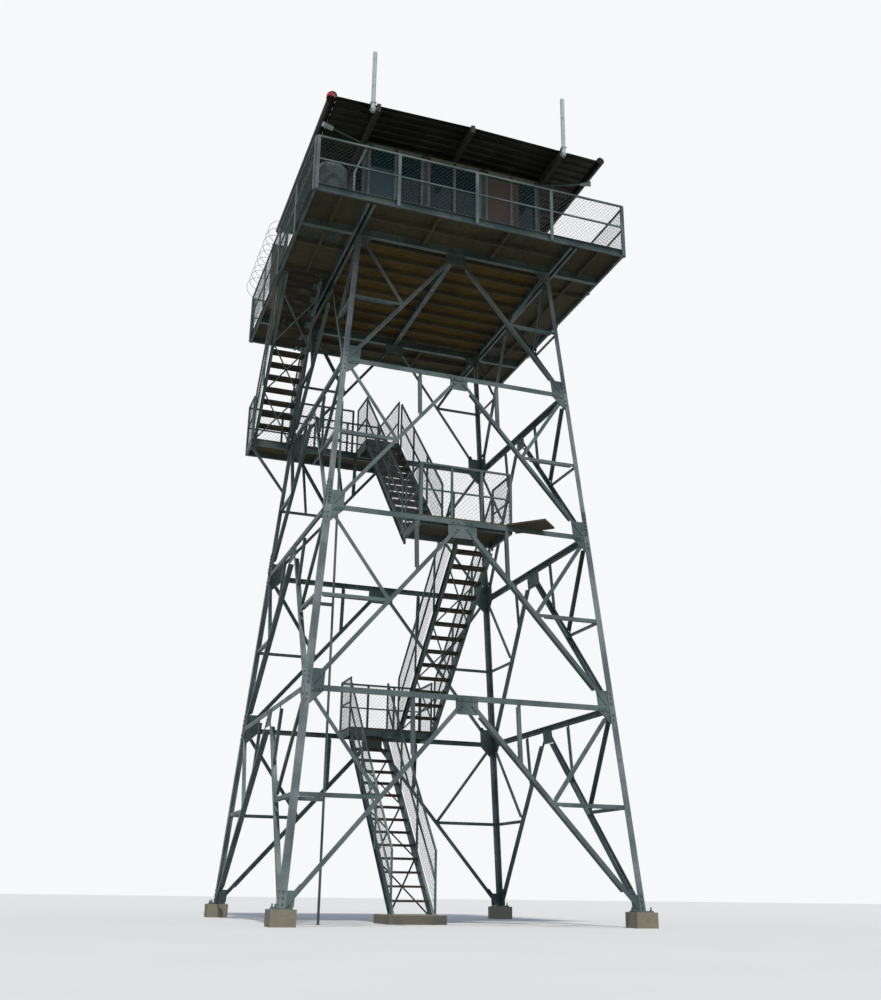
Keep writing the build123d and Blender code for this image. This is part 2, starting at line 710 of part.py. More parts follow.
# Rim channels round the platform, toes outward
with BuildPart() as rim:
    for side, length in ((NEAR, DECK_HALF), (FAR, DECK_HALF), (RIGHT, RIM_LINE), (LEFT, RIM_LINE)):
        length -= RIM_GAP if side in (RIGHT, LEFT) else 0
        upright_channel(wall_plane(side, RIM_LINE), -length, length, depth=RIM_DEPTH, top=DECK_TOP)
save(rim, "rim_channels")

# Decks: planks drawn as slabs, a square floor for the cab and strips round it
with BuildPart() as cab_floor:
    with BuildSketch(Plane.XY.offset(BEAM_TOP)):
        Rectangle(2 * CAB_HALF, 2 * CAB_HALF)
    extrude(amount=PLANK)
save(cab_floor, "cab_floor")

with BuildPart() as catwalk:
    with BuildSketch(Plane.XY.offset(BEAM_TOP)):
        Rectangle(2 * RIM_LINE, 2 * RIM_LINE)
        Rectangle(2 * (CAB_HALF + DECK_SEAM), 2 * (CAB_HALF + DECK_SEAM), mode=Mode.SUBTRACT)
        with Locations((TOP_FLIGHT_LEFT + STAIR_WIDTH / 2, (TOP_FLIGHT_HEAD + HOLE_END) / 2)):
            hole_width = STAIR_WIDTH + 2 * HOLE_MARGIN
            Rectangle(hole_width, HOLE_END - TOP_FLIGHT_HEAD, mode=Mode.SUBTRACT)
        for x, y in ((-1, -1), (1, -1), (1, 1), (-1, 1)):
            seam = CAB_HALF + DECK_SEAM / 2
            with Locations((x * (seam + RIM_LINE) / 2, y * seam)):
                Rectangle(RIM_LINE - CAB_HALF, DECK_SEAM, mode=Mode.SUBTRACT)
    extrude(amount=PLANK)
save(catwalk, "catwalk_deck")

# The lid of the stair hole, stood up on its far edge
with BuildPart() as lid:
    lid_width = STAIR_WIDTH + 2 * HOLE_MARGIN - 2 * LID_GAP
    place = (TOP_FLIGHT_LEFT + STAIR_WIDTH / 2, HOLE_END + LID_THICK / 2, DECK_TOP)
    with Locations(place):
        Box(lid_width, LID_THICK, LID_LENGTH, align=(Align.CENTER, Align.CENTER, Align.MIN))
save(lid, "hatch_lid")

# Catwalk rails, one flat frame on each side, bolted to the rim
with BuildPart() as catwalk_rails:
    for side in range(4):
        end = DECK_HALF if side in (NEAR, FAR) else DECK_HALF - EDGE_GAP
        low, high = DECK_TOP - RIM_DEPTH, DECK_TOP + RAIL_HEIGHT
        rail_panel(wall_plane(side, DECK_HALF), -end, end, low, high, POST_BAYS + 1, CATWALK_POST)
save(catwalk_rails, "catwalk_rails")

# Cab walls: timber frames with three window openings a side; a door in the left wall
SIDE_WALL_HALF = CAB_HALF - WALL
GLASS_LINE = CAB_HALF - WALL / 2 - GLASS / 2
DOOR_CENTRE = SIDE_WALL_HALF - DOOR_MARGIN - DOOR_WIDTH / 2


def window_centres(side):
    """Width of the windows of one wall and the middles of those it has."""
    half, margin = (CAB_HALF, WINDOW_MARGIN) if side in (NEAR, FAR) else (SIDE_WALL_HALF, SIDE_MARGIN)
    width = (2 * (half - margin - WINDOW_POST)) / 3
    pitch = width + WINDOW_POST
    return width, [-pitch, 0] if side == LEFT else [-pitch, 0, pitch]


with BuildPart() as panes:
    for side in range(4):
        width, centres = window_centres(side)
        with BuildSketch(wall_plane(side, GLASS_LINE)):
            for centre in centres:
                with Locations((centre, SILL_TOP + WINDOW_HEIGHT / 2)):
                    Rectangle(width, WINDOW_HEIGHT)
            if side == LEFT:
                with Locations((DOOR_CENTRE, SILL_TOP + WINDOW_HEIGHT / 2)):
                    Rectangle(DOOR_WIDTH - 2 * DOOR_STILE, WINDOW_HEIGHT - DOOR_STILE)
        extrude(amount=GLASS)
save(panes, "window_glass")

for side, side_name in enumerate(SIDE_NAMES):
    half = CAB_HALF if side in (NEAR, FAR) else SIDE_WALL_HALF
    with BuildPart() as wall:
        with BuildSketch(wall_plane(side, SIDE_WALL_HALF)):
            with Locations((0, DECK_TOP + WALL_HEIGHT / 2)):
                Rectangle(2 * half, WALL_HEIGHT)
            width, centres = window_centres(side)
            for centre in centres:
                with Locations((centre, SILL_TOP + WINDOW_HEIGHT / 2)):
                    Rectangle(width, WINDOW_HEIGHT, mode=Mode.SUBTRACT)
            if side == LEFT:
                door_height = SILL_TOP + WINDOW_HEIGHT - DECK_TOP
                with Locations((DOOR_CENTRE, DECK_TOP + door_height / 2)):
                    Rectangle(DOOR_WIDTH, door_height, mode=Mode.SUBTRACT)
        extrude(amount=WALL)
    save(wall, f"wall_{side_name}")

with BuildPart() as door:
    with BuildSketch(wall_plane(LEFT, CAB_HALF - WALL / 2 - DOOR_THICK / 2)):
        with Locations((DOOR_CENTRE, DECK_TOP + door_height / 2)):
            Rectangle(DOOR_WIDTH, door_height)
        with Locations((DOOR_CENTRE, SILL_TOP + WINDOW_HEIGHT / 2)):
            Rectangle(DOOR_WIDTH - 2 * DOOR_STILE, WINDOW_HEIGHT - DOOR_STILE, mode=Mode.SUBTRACT)
    extrude(amount=DOOR_THICK)
save(door, "cab_door")

# Roof: three rafters, the outer two against the walls, carry a ribbed sheet that falls both ways
RIDGE_Z = WALL_TOP + RAFTER_DEPTH + ROOF_FALL


def sheet_drop(x):
    """How far the sheet lies below the ridge at x."""
    return ROOF_FALL * abs(x) / SHEET_HALF


side_rafter = CAB_HALF + RAFTER_WIDTH / 2
with BuildPart() as rafters:
    for line, lap in ((-side_rafter, RAFTER_LAP), (0, 0), (side_rafter, RAFTER_LAP)):
        top, low = RIDGE_Z - sheet_drop(abs(line) + RAFTER_WIDTH / 2), WALL_TOP - lap
        near, far = ROOF_NEAR - RAFTER_NOSE, ROOF_FAR - RAFTER_INSET
        with Locations((line, (near + far) / 2, (top + low) / 2)):
            Box(RAFTER_WIDTH, far - near, top - low)
save(rafters, "roof_rafters")

with BuildPart() as roof_sheet:
    ribs = int((ROOF_FAR - ROOF_NEAR) / RIB_PITCH)
    rib_top, rib_side = RIB_PITCH * 0.27, RIB_PITCH * 0.1
    upper = [Vector(ROOF_NEAR, SHEET)]
    for count in range(ribs):
        middle = ROOF_NEAR + RIB_PITCH * (count + 0.5)
        for away, height in (
            (-rib_top / 2 - rib_side, 0),
            (-rib_top / 2, RIB_HEIGHT),
            (rib_top / 2, RIB_HEIGHT),
            (rib_top / 2 + rib_side, 0),
        ):
            upper.append(Vector(middle + away, height + SHEET))
    upper.append(Vector(ROOF_FAR, SHEET))
    lower = [point - Vector(0, SHEET) for point in reversed(upper)]
    for hand in (-1, 1):
        with BuildSketch(Plane((0, 0, RIDGE_Z), x_dir=(0, 1, 0), z_dir=(1, 0, 0))):
            with BuildLine():
                Polyline(*upper, *lower, close=True)
            make_face()
        fall = Vector(hand * SHEET_HALF, 0, -ROOF_FALL)
        extrude(amount=fall.length, dir=fall.normalized())
save(roof_sheet, "roof_sheet")

# Round edge tubes along both sides of the roof, closed at their ends
with BuildPart() as edge_tubes:
    for hand in (-1, 1):
        with BuildSketch(Plane.XZ.offset(-ROOF_NEAR)):
            with Locations((hand * (SHEET_HALF + TUBE_RADIUS), RIDGE_Z - ROOF_FALL + TUBE_RISE)):
                Circle(TUBE_RADIUS)
        extrude(amount=-(ROOF_FAR - ROOF_NEAR))
save(edge_tubes, "roof_edge_tubes")

# Radio masts: one against the near edge of the roof, one on the nose of the right rafter
with BuildPart() as masts:
    for x, y in ((LEFT_MAST_LINE, ROOF_NEAR), (side_rafter, ROOF_NEAR - RAFTER_NOSE)):
        with Locations((x, y - MAST_RADIUS, WALL_TOP - MAST_DROP + MAST_HEIGHT / 2)):
            Cylinder(MAST_RADIUS, MAST_HEIGHT)
save(masts, "radio_masts")

# Small things on the cab and the deck
with BuildPart() as lamp:
    lamp_z = RIDGE_Z - ROOF_FALL + TUBE_RISE - TUBE_RADIUS - LAMP_BODY * 0.8
    with Locations((LAMP_X, ROOF_NEAR - LAMP_RADIUS, lamp_z)):
        Cylinder(LAMP_RADIUS, LAMP_BODY, align=(Align.CENTER, Align.CENTER, Align.MIN))
        with Locations((0, 0, LAMP_BODY)):
            Sphere(LAMP_RADIUS)
save(lamp, "roof_lamp")

drum_place = RIM_LINE - DRUM_RADIUS - DRUM_GAP
with BuildPart() as drum:
    with Locations((-drum_place, -drum_place, DECK_TOP)):
        Cylinder(DRUM_RADIUS, DRUM_HEIGHT, align=(Align.CENTER, Align.CENTER, Align.MIN))
    fillet(drum.edges().sort_by(Axis.Z)[-1], DRUM_RADIUS * 0.55)
save(drum, "deck_drum")

# Lamps on arms at the near corners of the cab: a straight head left, a bell-shaped one right
ARM_START_X = CAB_HALF - ARM_BLOCK / 2
ARM_START_Y = -CAB_HALF - ARM_BLOCK / 4
ARM_Z = WALL_TOP - ARM_DROP
with BuildPart() as lamp_arms:
    for hand, rise in zip((-1, 1), ARM_RISES):
        start = Vector(hand * ARM_START_X, ARM_START_Y, ARM_Z)
        reach = Vector(hand * ARM_REACH, -ARM_FORWARD, rise)
        with Locations((start.X, start.Y, start.Z)):
            Box(ARM_BLOCK, ARM_BLOCK / 2, ARM_BLOCK)
        with BuildSketch(Plane(start, z_dir=reach)):
            Circle(ARM_RADIUS)
        extrude(amount=reach.length - LAMP_LENGTH)
save(lamp_arms, "lamp_arms")

with BuildPart() as lamp_heads:
    for hand, rise in zip((-1, 1), ARM_RISES):
        start = Vector(hand * ARM_START_X, ARM_START_Y, ARM_Z)
        reach = Vector(hand * ARM_REACH, -ARM_FORWARD, rise)
        neck = start + reach - reach.normalized() * LAMP_LENGTH
        with Locations(Plane(neck, z_dir=reach)):
            seat = (Align.CENTER, Align.CENTER, Align.MIN)
            if hand < 0:
                Cylinder(LAMP_WIDTH / 2, LAMP_LENGTH, align=seat)
            else:
                Cone(ARM_RADIUS + 6, LAMP_WIDTH * 0.6, LAMP_LENGTH, align=seat)
save(lamp_heads, "lamp_heads")

# Cable pipe up the inside of the left side, held off the struts by flat brackets
pipe_x = PIPE_INSET - half_width(PIPE_HEIGHT - PIER_TOP)
pipe_y = PIPE_SIDE - half_width(PIPE_HEIGHT - PIER_TOP)
with BuildPart() as cable_pipe:
    with Locations((pipe_x, pipe_y, PIPE_HEIGHT / 2)):
        Cylinder(PIPE_RADIUS, PIPE_HEIGHT)
save(cable_pipe, "cable_pipe")

with BuildPart() as brackets:
    for low, high in panels()[:3]:
        height = (low + high) / 2
        stem_top = height - STRUT_WIDTH / 2 + BAR_THICK
        outer = -half_width(stem_top) + (LEG_THICK + STRUT_WIDTH) * SLOPE
        inner = pipe_x - PIPE_RADIUS
        with Locations(((outer + inner) / 2, pipe_y, PIER_TOP + height)):
            Box(inner - outer, BAR_THICK, STRUT_WIDTH)
save(brackets, "pipe_brackets")

# Spare plank lying on the near ring beam beside landing 2
with BuildPart() as plank:
    plank_y = half_width(RING_HEIGHTS[1]) - RING_WIDTH / 2
    with Locations((LANDING_RIGHT + PLANK_LENGTH / 2 + EDGE_GAP, -plank_y, L2_Z + PLANK / 2)):
        Box(PLANK_LENGTH, PLANK_WIDTH, PLANK)
save(plank, "spare_plank")
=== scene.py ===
import math

import bmesh
import bpy
from mathutils import Matrix, Vector


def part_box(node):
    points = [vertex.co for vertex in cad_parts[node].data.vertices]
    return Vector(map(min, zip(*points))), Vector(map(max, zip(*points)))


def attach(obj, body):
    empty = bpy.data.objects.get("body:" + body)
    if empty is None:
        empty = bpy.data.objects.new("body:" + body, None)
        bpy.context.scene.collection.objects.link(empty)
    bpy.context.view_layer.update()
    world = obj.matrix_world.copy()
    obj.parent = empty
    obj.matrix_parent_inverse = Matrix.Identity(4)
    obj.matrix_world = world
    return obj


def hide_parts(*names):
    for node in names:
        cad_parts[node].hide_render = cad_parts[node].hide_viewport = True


# Steel fire lookout tower: a battered lattice with four stair flights, and a glazed cab with a
# railed catwalk under a ribbed roof. Metres; Z is up, the near side faces -Y.
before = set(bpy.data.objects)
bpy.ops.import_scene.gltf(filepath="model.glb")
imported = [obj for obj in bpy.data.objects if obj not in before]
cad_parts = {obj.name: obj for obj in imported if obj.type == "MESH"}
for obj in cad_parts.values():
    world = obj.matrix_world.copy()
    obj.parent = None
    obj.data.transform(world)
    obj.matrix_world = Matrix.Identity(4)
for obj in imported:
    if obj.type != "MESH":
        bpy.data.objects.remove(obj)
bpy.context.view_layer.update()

# The camera stands low in front, left of the middle, and looks up at the whole tower. Its place,
# its angles and its lens were worked out from the photo.
CAMERA_PLACE = (-6.79, -20.48, 0.51)
YAW, PITCH, ROLL = math.radians(19.54), math.radians(19.69), math.radians(0.77)
SENSOR, LENS = 36, 39.54
camera_data = bpy.data.cameras.new("camera")
camera_data.sensor_width = SENSOR
camera_data.lens = LENS
camera = bpy.data.objects.new("camera", camera_data)
bpy.context.collection.objects.link(camera)
scene = bpy.context.scene
scene.camera = camera
look = Vector((math.sin(YAW) * math.cos(PITCH), math.cos(YAW) * math.cos(PITCH), math.sin(PITCH)))
level = Vector((math.cos(YAW), -math.sin(YAW), 0))
upright = level.cross(look)
right = level * math.cos(ROLL) + upright * math.sin(ROLL)
above = upright * math.cos(ROLL) - level * math.sin(ROLL)
facing = Matrix((right, above, -look)).transposed().to_4x4()
camera.matrix_world = Matrix.Translation(CAMERA_PLACE) @ facing

# Plain studio: a high sun in front and a weak filling sky, brighter overhead than at the horizon.
# In sight the sky is a pale backdrop.
HORIZON, ZENITH, BACKDROP = (0.10, 0.115, 0.13), (0.62, 0.74, 0.95), (0.93, 0.94, 0.95)
SKY_STRENGTH, SUN_STRENGTH = 0.8, 2.7
SUN_COLOR = (1.0, 0.96, 0.9)
SUN_TILT, SUN_TURN, SUN_SPREAD = math.radians(19), math.radians(-10), math.radians(4)


class Wire:
    """One output of a shader node. Sums and products of wires add their Math nodes."""

    def __init__(self, nodes, socket):
        self.nodes = nodes
        self.socket = socket

    def maths(self, operation, other):
        return self.nodes.node("ShaderNodeMath", {"operation": operation}, self, other)

    def __add__(self, other):
        return self.maths("ADD", other)

    def __mul__(self, other):
        return self.maths("MULTIPLY", other)

    __radd__ = __add__
    __rmul__ = __mul__

    def between(self, low, high):
        """Rises from 0 at low to 1 at high, and stays there."""
        smooth = {"interpolation_type": "SMOOTHSTEP"}
        return self.nodes.node("ShaderNodeMapRange", smooth, self, low, high, 0.0, 1.0)


class Nodes:
    """The nodes of the sky or of a material."""

    def __init__(self, tree):
        self.tree = tree

    def node(self, kind, settings=None, *values, output=None):
        """Adds a node, with its settings first and then the values or wires of its inputs."""
        node = self.tree.nodes.new(kind)
        for key, value in (settings or {}).items():
            if key == "stops":
                for element, (position, shade) in zip(node.color_ramp.elements, value):
                    element.position = position
                    element.color = (*shade, 1)
            else:
                setattr(node, key, value)
        inputs = [socket for socket in node.inputs if socket.enabled]
        for socket, value in zip(inputs, values):
            if isinstance(value, Wire):
                self.tree.links.new(value.socket, socket)
            elif isinstance(value, tuple) and socket.type == "RGBA":
                socket.default_value = (*value, 1)
            else:
                socket.default_value = value
        if output is None:
            return Wire(self, next(socket for socket in node.outputs if socket.enabled))
        return Wire(self, node.outputs[output])

    def in_sight(self):
        """At least 1 where the camera sees a point, mirrored or through glass too, and else 0."""
        rays = ("Is Camera Ray", "Is Glossy Ray", "Is Transmission Ray")
        return sum(self.node("ShaderNodeLightPath", output=ray) for ray in rays)


scene.view_settings.view_transform = "Standard"
world = bpy.data.worlds.new("sky")
scene.world = world
world.use_nodes = True
sky = Nodes(world.node_tree)
direction = sky.node("ShaderNodeTexCoord", output="Generated")
height = sky.node("ShaderNodeSeparateXYZ", None, direction, output="Z")
shade = sky.node("ShaderNodeValToRGB", {"stops": ((0.0, HORIZON), (0.75, ZENITH))}, height)
lit = sky.node("ShaderNodeBackground", None, shade, SKY_STRENGTH)
shown = sky.node("ShaderNodeBackground", None, BACKDROP, 1.0)
choice = sky.node("ShaderNodeMixShader", None, sky.in_sight(), lit, shown)
sky.tree.links.new(choice.socket, sky.tree.nodes["World Output"].inputs["Surface"])
sun_data = bpy.data.lights.new("sun", "SUN")
sun_data.energy = SUN_STRENGTH
sun_data.angle = SUN_SPREAD
sun_data.color = SUN_COLOR
sun = bpy.data.objects.new("sun", sun_data)
sun.rotation_euler = (SUN_TILT, 0, SUN_TURN)
bpy.context.collection.objects.link(sun)

# The studio's floor: pale in sight and in reflections. It throws back little light, so that the
# tower's undersides stay in shade.
FLOOR_SIZE = 160


class Finish(Nodes):
    """A material in the making, and the patterns that most finishes here are built from."""

    def __init__(self, name, roughness=0.5, metallic=0.0, gloss=0.15):
        self.material = bpy.data.materials.new(name)
        self.material.use_nodes = True
        super().__init__(self.material.node_tree)
        self.shader = self.tree.nodes["Principled BSDF"]
        self.shader.inputs["Roughness"].default_value = roughness
        self.shader.inputs["Metallic"].default_value = metallic
        self.shader.inputs["Specular IOR Level"].default_value = gloss
        self.place = self.node("ShaderNodeTexCoord", output="Object")

    def stretched(self, place, x, y, z):
        """Coordinates stretched along their axes."""
        return self.node("ShaderNodeVectorMath", {"operation": "MULTIPLY"}, place, (x, y, z))

    def noise(self, scale, detail=4.0, place=None):
        return self.node("ShaderNodeTexNoise", None, place or self.place, scale, detail)

    def cells(self, scale, output):
        return self.node("ShaderNodeTexVoronoi", None, self.place, scale, output=output)

    def mix(self, mask, first, second, blend="MIX"):
        """Colour first where the mask is 0, and second where it is 1."""
        settings = {"data_type": "RGBA", "blend_type": blend}
        return self.node("ShaderNodeMix", settings, mask, first, second)

    def use(self, color, roughness=None, height=None, depth=0.002):
        """Joins the finished colour, roughness and surface height to the shader."""
        join = self.tree.links.new
        join(color.socket, self.shader.inputs["Base Color"])
        if roughness is not None:
            join(roughness.socket, self.shader.inputs["Roughness"])
        if height is not None:
            bump = self.node("ShaderNodeBump", None, 1.0, depth).socket
            join(height.socket, bump.node.inputs["Height"])
            join(bump, self.shader.inputs["Normal"])


bpy.ops.mesh.primitive_plane_add(size=FLOOR_SIZE, location=(0, 0, 0))
floor = bpy.context.object
floor.name = "floor"
floor_finish = Finish("floor_finish", 0.9)
pale = floor_finish.mix(floor_finish.noise(0.6), (0.58, 0.57, 0.55), (0.62, 0.61, 0.59))
floor_finish.use(floor_finish.mix(floor_finish.in_sight(), (0.17, 0.17, 0.13), pale))
floor.data.materials.append(floor_finish.material)

# Four piers and the stair pad: concrete cast on the spot, with a rough and pitted skin that the
# sun has bleached unevenly. The legs' plates and the first flight are bolted down on them.


def dress(finish, *nodes):
    """Gives CAD nodes their finish."""
    for name in nodes:
        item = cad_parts[name]
        item.data.materials.clear()
        item.data.materials.append(finish.material)


concrete = Finish("cast_concrete", 0.9)
stone = concrete.mix(concrete.noise(7.0, 8.0), (0.31, 0.275, 0.20), (0.46, 0.42, 0.33))
pits = concrete.cells(60.0, "Distance").between(0.0, 0.22)
concrete.use(stone, None, pits + concrete.noise(25.0, 8.0), 0.004)
dress(concrete, "piers", "stair_pad")


# Legs: two lengths of rolled steel angle each, hot-dip galvanized and bolted end to end. The zinc
# has a faint spangle, chalky patches, dirt that runs down and a little rust.
def galvanized(name, dull_zinc, bright_zinc):
    """Old zinc that varies between two greys."""
    finish = Finish(name, 0.55, 0.25)
    patches = finish.noise(1.7, 5.0).between(0.35, 0.65)
    streaks = finish.noise(1.0, 6.0, finish.stretched(finish.place, 9.0, 9.0, 0.7))
    zinc = finish.mix(patches, dull_zinc, bright_zinc)
    zinc = finish.mix(0.14, zinc, finish.cells(42.0, "Color"), "SOFT_LIGHT")
    zinc = finish.mix(streaks.between(0.52, 0.78) * 0.55, zinc, (0.10, 0.10, 0.085))
    rust = finish.noise(6.0, 8.0).between(0.66, 0.74) * finish.noise(0.9, 2.0).between(0.5, 0.62)
    zinc = finish.mix(rust * 0.75, zinc, (0.20, 0.095, 0.045))
    finish.use(zinc, finish.noise(11.0, 3.0) * 0.25 + 0.42, finish.noise(60.0, 3.0), 0.0012)
    return finish


leg_steel = galvanized("leg_zinc", (0.15, 0.185, 0.19), (0.26, 0.305, 0.31))
dress(leg_steel, "leg_near_left", "leg_near_right", "leg_far_right", "leg_far_left")

# All other steel, from the plates on the piers to the rails and the lamps' arms: angles, flats,
# channels and pipe, galvanized as the legs are and bolted together. Its darker grey-green is the
# legs' zinc with painted shade.
steel = galvanized("shade_darkened_zinc", (0.092, 0.133, 0.133), (0.168, 0.215, 0.21))
dress(steel, "base_plates", "ring_beams", "braces_near", "braces_right", "braces_far", "braces_left")
dress(steel, "panel_struts", "sub_diagonals", "ring_hangers", "landing_frames", "landing_rails")
dress(steel, "gallery_props", "stair_rails", "stringers_1", "stringers_2", "stringers_3")
dress(steel, "stringers_4", "platform_beams", "cross_girders", "rim_channels", "catwalk_rails")
dress(steel, "cable_pipe", "pipe_brackets", "lamp_arms", "gusset_plates")

# Gusset plates: cut from flat steel with clipped corners, one behind each flange of a leg at every
# level and one at the middle of every beam. Rings and braces are bolted to them.
BASE_HALF, BATTER, PIER_TOP = 3.13, 0.0816, 0.25
NODE_HEIGHTS = (0.0, 3.41, 6.67, 9.72, 12.65)
TOP_CLIP = 12.61
PLATE, PLATE_BACK = 0.008, -0.0131
LEG_EDGE, CORNER_WIDTH, CORNER_REACH, CORNER_RISE, CORNER_DROP, KNEE = 0.03, 0.13, 0.33, 0.33, -0.26, -0.05
FOOT_REACH, FOOT_RISE, FOOT_LOW = 0.24, 0.27, 0.025
MIDDLE_RISE, MIDDLE_CLIP, MIDDLE_FOOT = 0.04, 0.03, 0.42
# Height over the piers, width and drop of each middle plate
MIDDLE_PLATES = ((3.41, 0.41, 0.28), (6.67, 0.56, 0.31), (9.72, 0.36, 0.26), (12.65, 0.42, 0.27))


class Solid:
    """A mesh in the making, out of straight prisms."""

    def __init__(self):
        self.points, self.faces = [], []

    def prism(self, outline, sweep):
        """A flat convex outline swept along a vector."""
        start, count = len(self.points), len(outline)
        self.points += [Vector(point) for point in outline]
        self.points += [Vector(point) + Vector(sweep) for point in outline]
        self.faces.append([start + number for number in range(count)])
        self.faces.append([start + count + number for number in range(count)])
        for number in range(count):
            here, after = start + number, start + (number + 1) % count
            self.faces.append([here, after, count + after, count + here])

    def box(self, low, high):
        """A box between two corners, square to the axes."""
        corners = ((low[0], low[1]), (high[0], low[1]), (high[0], high[1]), (low[0], high[1]))
        self.prism([(*corner, low[2]) for corner in corners], (0, 0, high[2] - low[2]))

    def bar(self, start, end, normal, width, thick):
        """A straight flat bar between two points, its broad face square to the normal."""
        start, normal = Vector(start), Vector(normal).normalized()
        run = Vector(end) - start
        side, lift = run.cross(normal).normalized() * width / 2, normal * thick / 2
        corners = (side + lift, lift - side, -side - lift, side - lift)
        self.prism([start + corner for corner in corners], run)

    def rod(self, start, end, radius, sides=8):
        """A round bar between two points."""
        run = Vector(end) - Vector(start)
        turn = run.to_track_quat("Z", "Y")
        angles = [2 * math.pi * number / sides for number in range(sides)]
        ring = [turn @ Vector((math.cos(angle), math.sin(angle), 0)) * radius for angle in angles]
        self.prism([Vector(start) + point for point in ring], run)

    def piece(self, name, finish, slot, *stands_for):
        """Makes the object with its finish, and lets it stand for CAD nodes if any are given. The slot is
        not used.
        """
        mesh = bpy.data.meshes.new(name)
        mesh.from_pydata(self.points, [], self.faces)
        work = bmesh.new()
        work.from_mesh(mesh)
        bmesh.ops.recalc_face_normals(work, faces=work.faces)
        work.to_mesh(mesh)
        work.free()
        mesh.materials.append(finish.material)
        item = bpy.data.objects.new(name, mesh)
        bpy.context.collection.objects.link(item)
        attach(item, "root")
        if stands_for:
            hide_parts(*stands_for)


def half_width(height):
    """Half the width of the lattice at a height over the piers."""
    return BASE_HALF - BATTER * height


def outward(side):
    """The direction that a battered side faces: side 0 is the near one, 1 the right one."""
    turn = math.radians(90 * side)
    return Vector((math.sin(turn), -math.cos(turn), BATTER)).normalized()


def on_face(side, across, height, out=0.0):
    """A point on a battered side of the tower, with height over the piers."""
    turn = math.radians(90 * side)
    place = Vector((across, -half_width(height), PIER_TOP + height))
    return Matrix.Rotation(turn, 3, "Z") @ place + outward(side) * out


plates = Solid()
for side in range(4):
    inward = outward(side) * -PLATE
    for height in NODE_HEIGHTS:
        at_foot = height == 0
        low, knee = (FOOT_LOW, FOOT_LOW) if at_foot else (CORNER_DROP, KNEE)
        reach = FOOT_REACH if at_foot else CORNER_REACH
        high = FOOT_RISE if at_foot else min(CORNER_RISE, TOP_CLIP - height)
        outline = ((LEG_EDGE, low), (CORNER_WIDTH, low), (reach, knee), (reach, high), (LEG_EDGE, high))
        for hand in (-1, 1):
            corners = []
            for inset, rise in outline:
                across = hand * (half_width(height + rise) - inset)
                corners.append(on_face(side, across, height + rise, PLATE_BACK))
            plates.prism(corners, inward)
    for height, width, drop in MIDDLE_PLATES:
        high = min(MIDDLE_RISE, TOP_CLIP - height)
        right_half = ((0.5, high), (0.5, MIDDLE_CLIP - drop), (MIDDLE_FOOT, -drop))
        outline = right_half + tuple((-share, rise) for share, rise in reversed(right_half))
        corners = [on_face(side, share * width, height + rise, PLATE_BACK) for share, rise in outline]
        plates.prism(corners, inward)
plates.piece("gusset_outlines", steel, "galvanized_steel", "gusset_plates")

# Lower ends of the braces: steel angle. Its broad flange runs on over the gusset, and is cut off
# along the ring or foot plate and along the leg. Its other flange stops short of the gusset.
# Width of the brace and of the leg beside it, and depth of the brace's other flange
LOWER_BRACE, UPPER_BRACE = (0.076, 0.114, 0.092), (0.064, 0.09, 0.068)
NODE_INSET, FACE_BACK, STEM_BACK = 0.06, -0.005, -0.013
END_BEHIND, END_AHEAD = 0.1, 0.203
RING_CLEAR, FOOT_CLEAR, LEG_CLEAR = 0.053, 0.03, 0.004
STEM_START, FOOT_STEM_START, STEM_END, STEM_INNER = 0.385, 0.31, 0.461, 0.79


def kept(polygon, normal, limit):
    """The part of a convex polygon that lies no farther than limit along a direction."""
    points = []
    for start, end in zip(polygon, polygon[1:] + polygon[:1]):
        before, after = start.dot(normal) - limit, end.dot(normal) - limit
        if before <= 0:
            points.append(start)
        if before * after < 0:
            points.append(start.lerp(end, before / (before - after)))
    return points


brace_ends = Solid()
for side in range(4):
    for low, high in zip(NODE_HEIGHTS, NODE_HEIGHTS[1:]):
        at_foot = low == 0
        width, leg, stem_depth = LOWER_BRACE if low < NODE_HEIGHTS[2] else UPPER_BRACE
        start = Vector((half_width(low) - NODE_INSET, low, 0))
        along = (Vector((0, high, 0)) - start).normalized()
        across = Vector((-along.y, along.x, 0)) * width / 2
        first, last = start - along * END_BEHIND, start + along * END_AHEAD
        strip = [first + across, last + across, last - across, first - across]
        strip = kept(strip, Vector((0, -1, 0)), -low - (FOOT_CLEAR if at_foot else RING_CLEAR))
        strip = kept(strip, Vector((1, BATTER, 0)), BASE_HALF - leg - LEG_CLEAR)
        first = start + along * (FOOT_STEM_START if at_foot else STEM_START)
        last = start + along * STEM_END
        stem = [first - across, last - across, last - across * STEM_INNER, first - across * STEM_INNER]
        for outline, back, depth in ((strip, FACE_BACK, PLATE), (stem, STEM_BACK, stem_depth)):
            for hand in (-1, 1):
                corners = [on_face(side, hand * point.x, point.y, back) for point in outline]
                brace_ends.prism(corners, outward(side) * -depth)
brace_ends.piece("brace_ends", steel, "galvanized_steel")

# Splice plates: a flat steel bar over each leg's joint halfway up, on both flanges. Three bolts
# over the joint and three under it hold each bar.
SPLICE_HEIGHT, SPLICE_HALF, SPLICE_INSET, SPLICE_WIDTH, SPLICE_THICK = 6.97, 0.24, 0.045, 0.078, 0.008
SPLICE_BOLTS = (-0.18, -0.11, -0.04, 0.04, 0.11, 0.18)
splices = Solid()
for side in range(4):
    for hand in (-1, 1):
        ends = []
        for rise in (-SPLICE_HALF, SPLICE_HALF):
            # The lower end is no farther out than the leg at the joint
            across = half_width(SPLICE_HEIGHT + max(rise, 0)) - SPLICE_INSET
            ends.append(on_face(side, hand * across, SPLICE_HEIGHT + rise, SPLICE_THICK / 2))
        splices.bar(*ends, outward(side), SPLICE_WIDTH, SPLICE_THICK)
splices.piece("leg_splices", steel, "galvanized_steel")

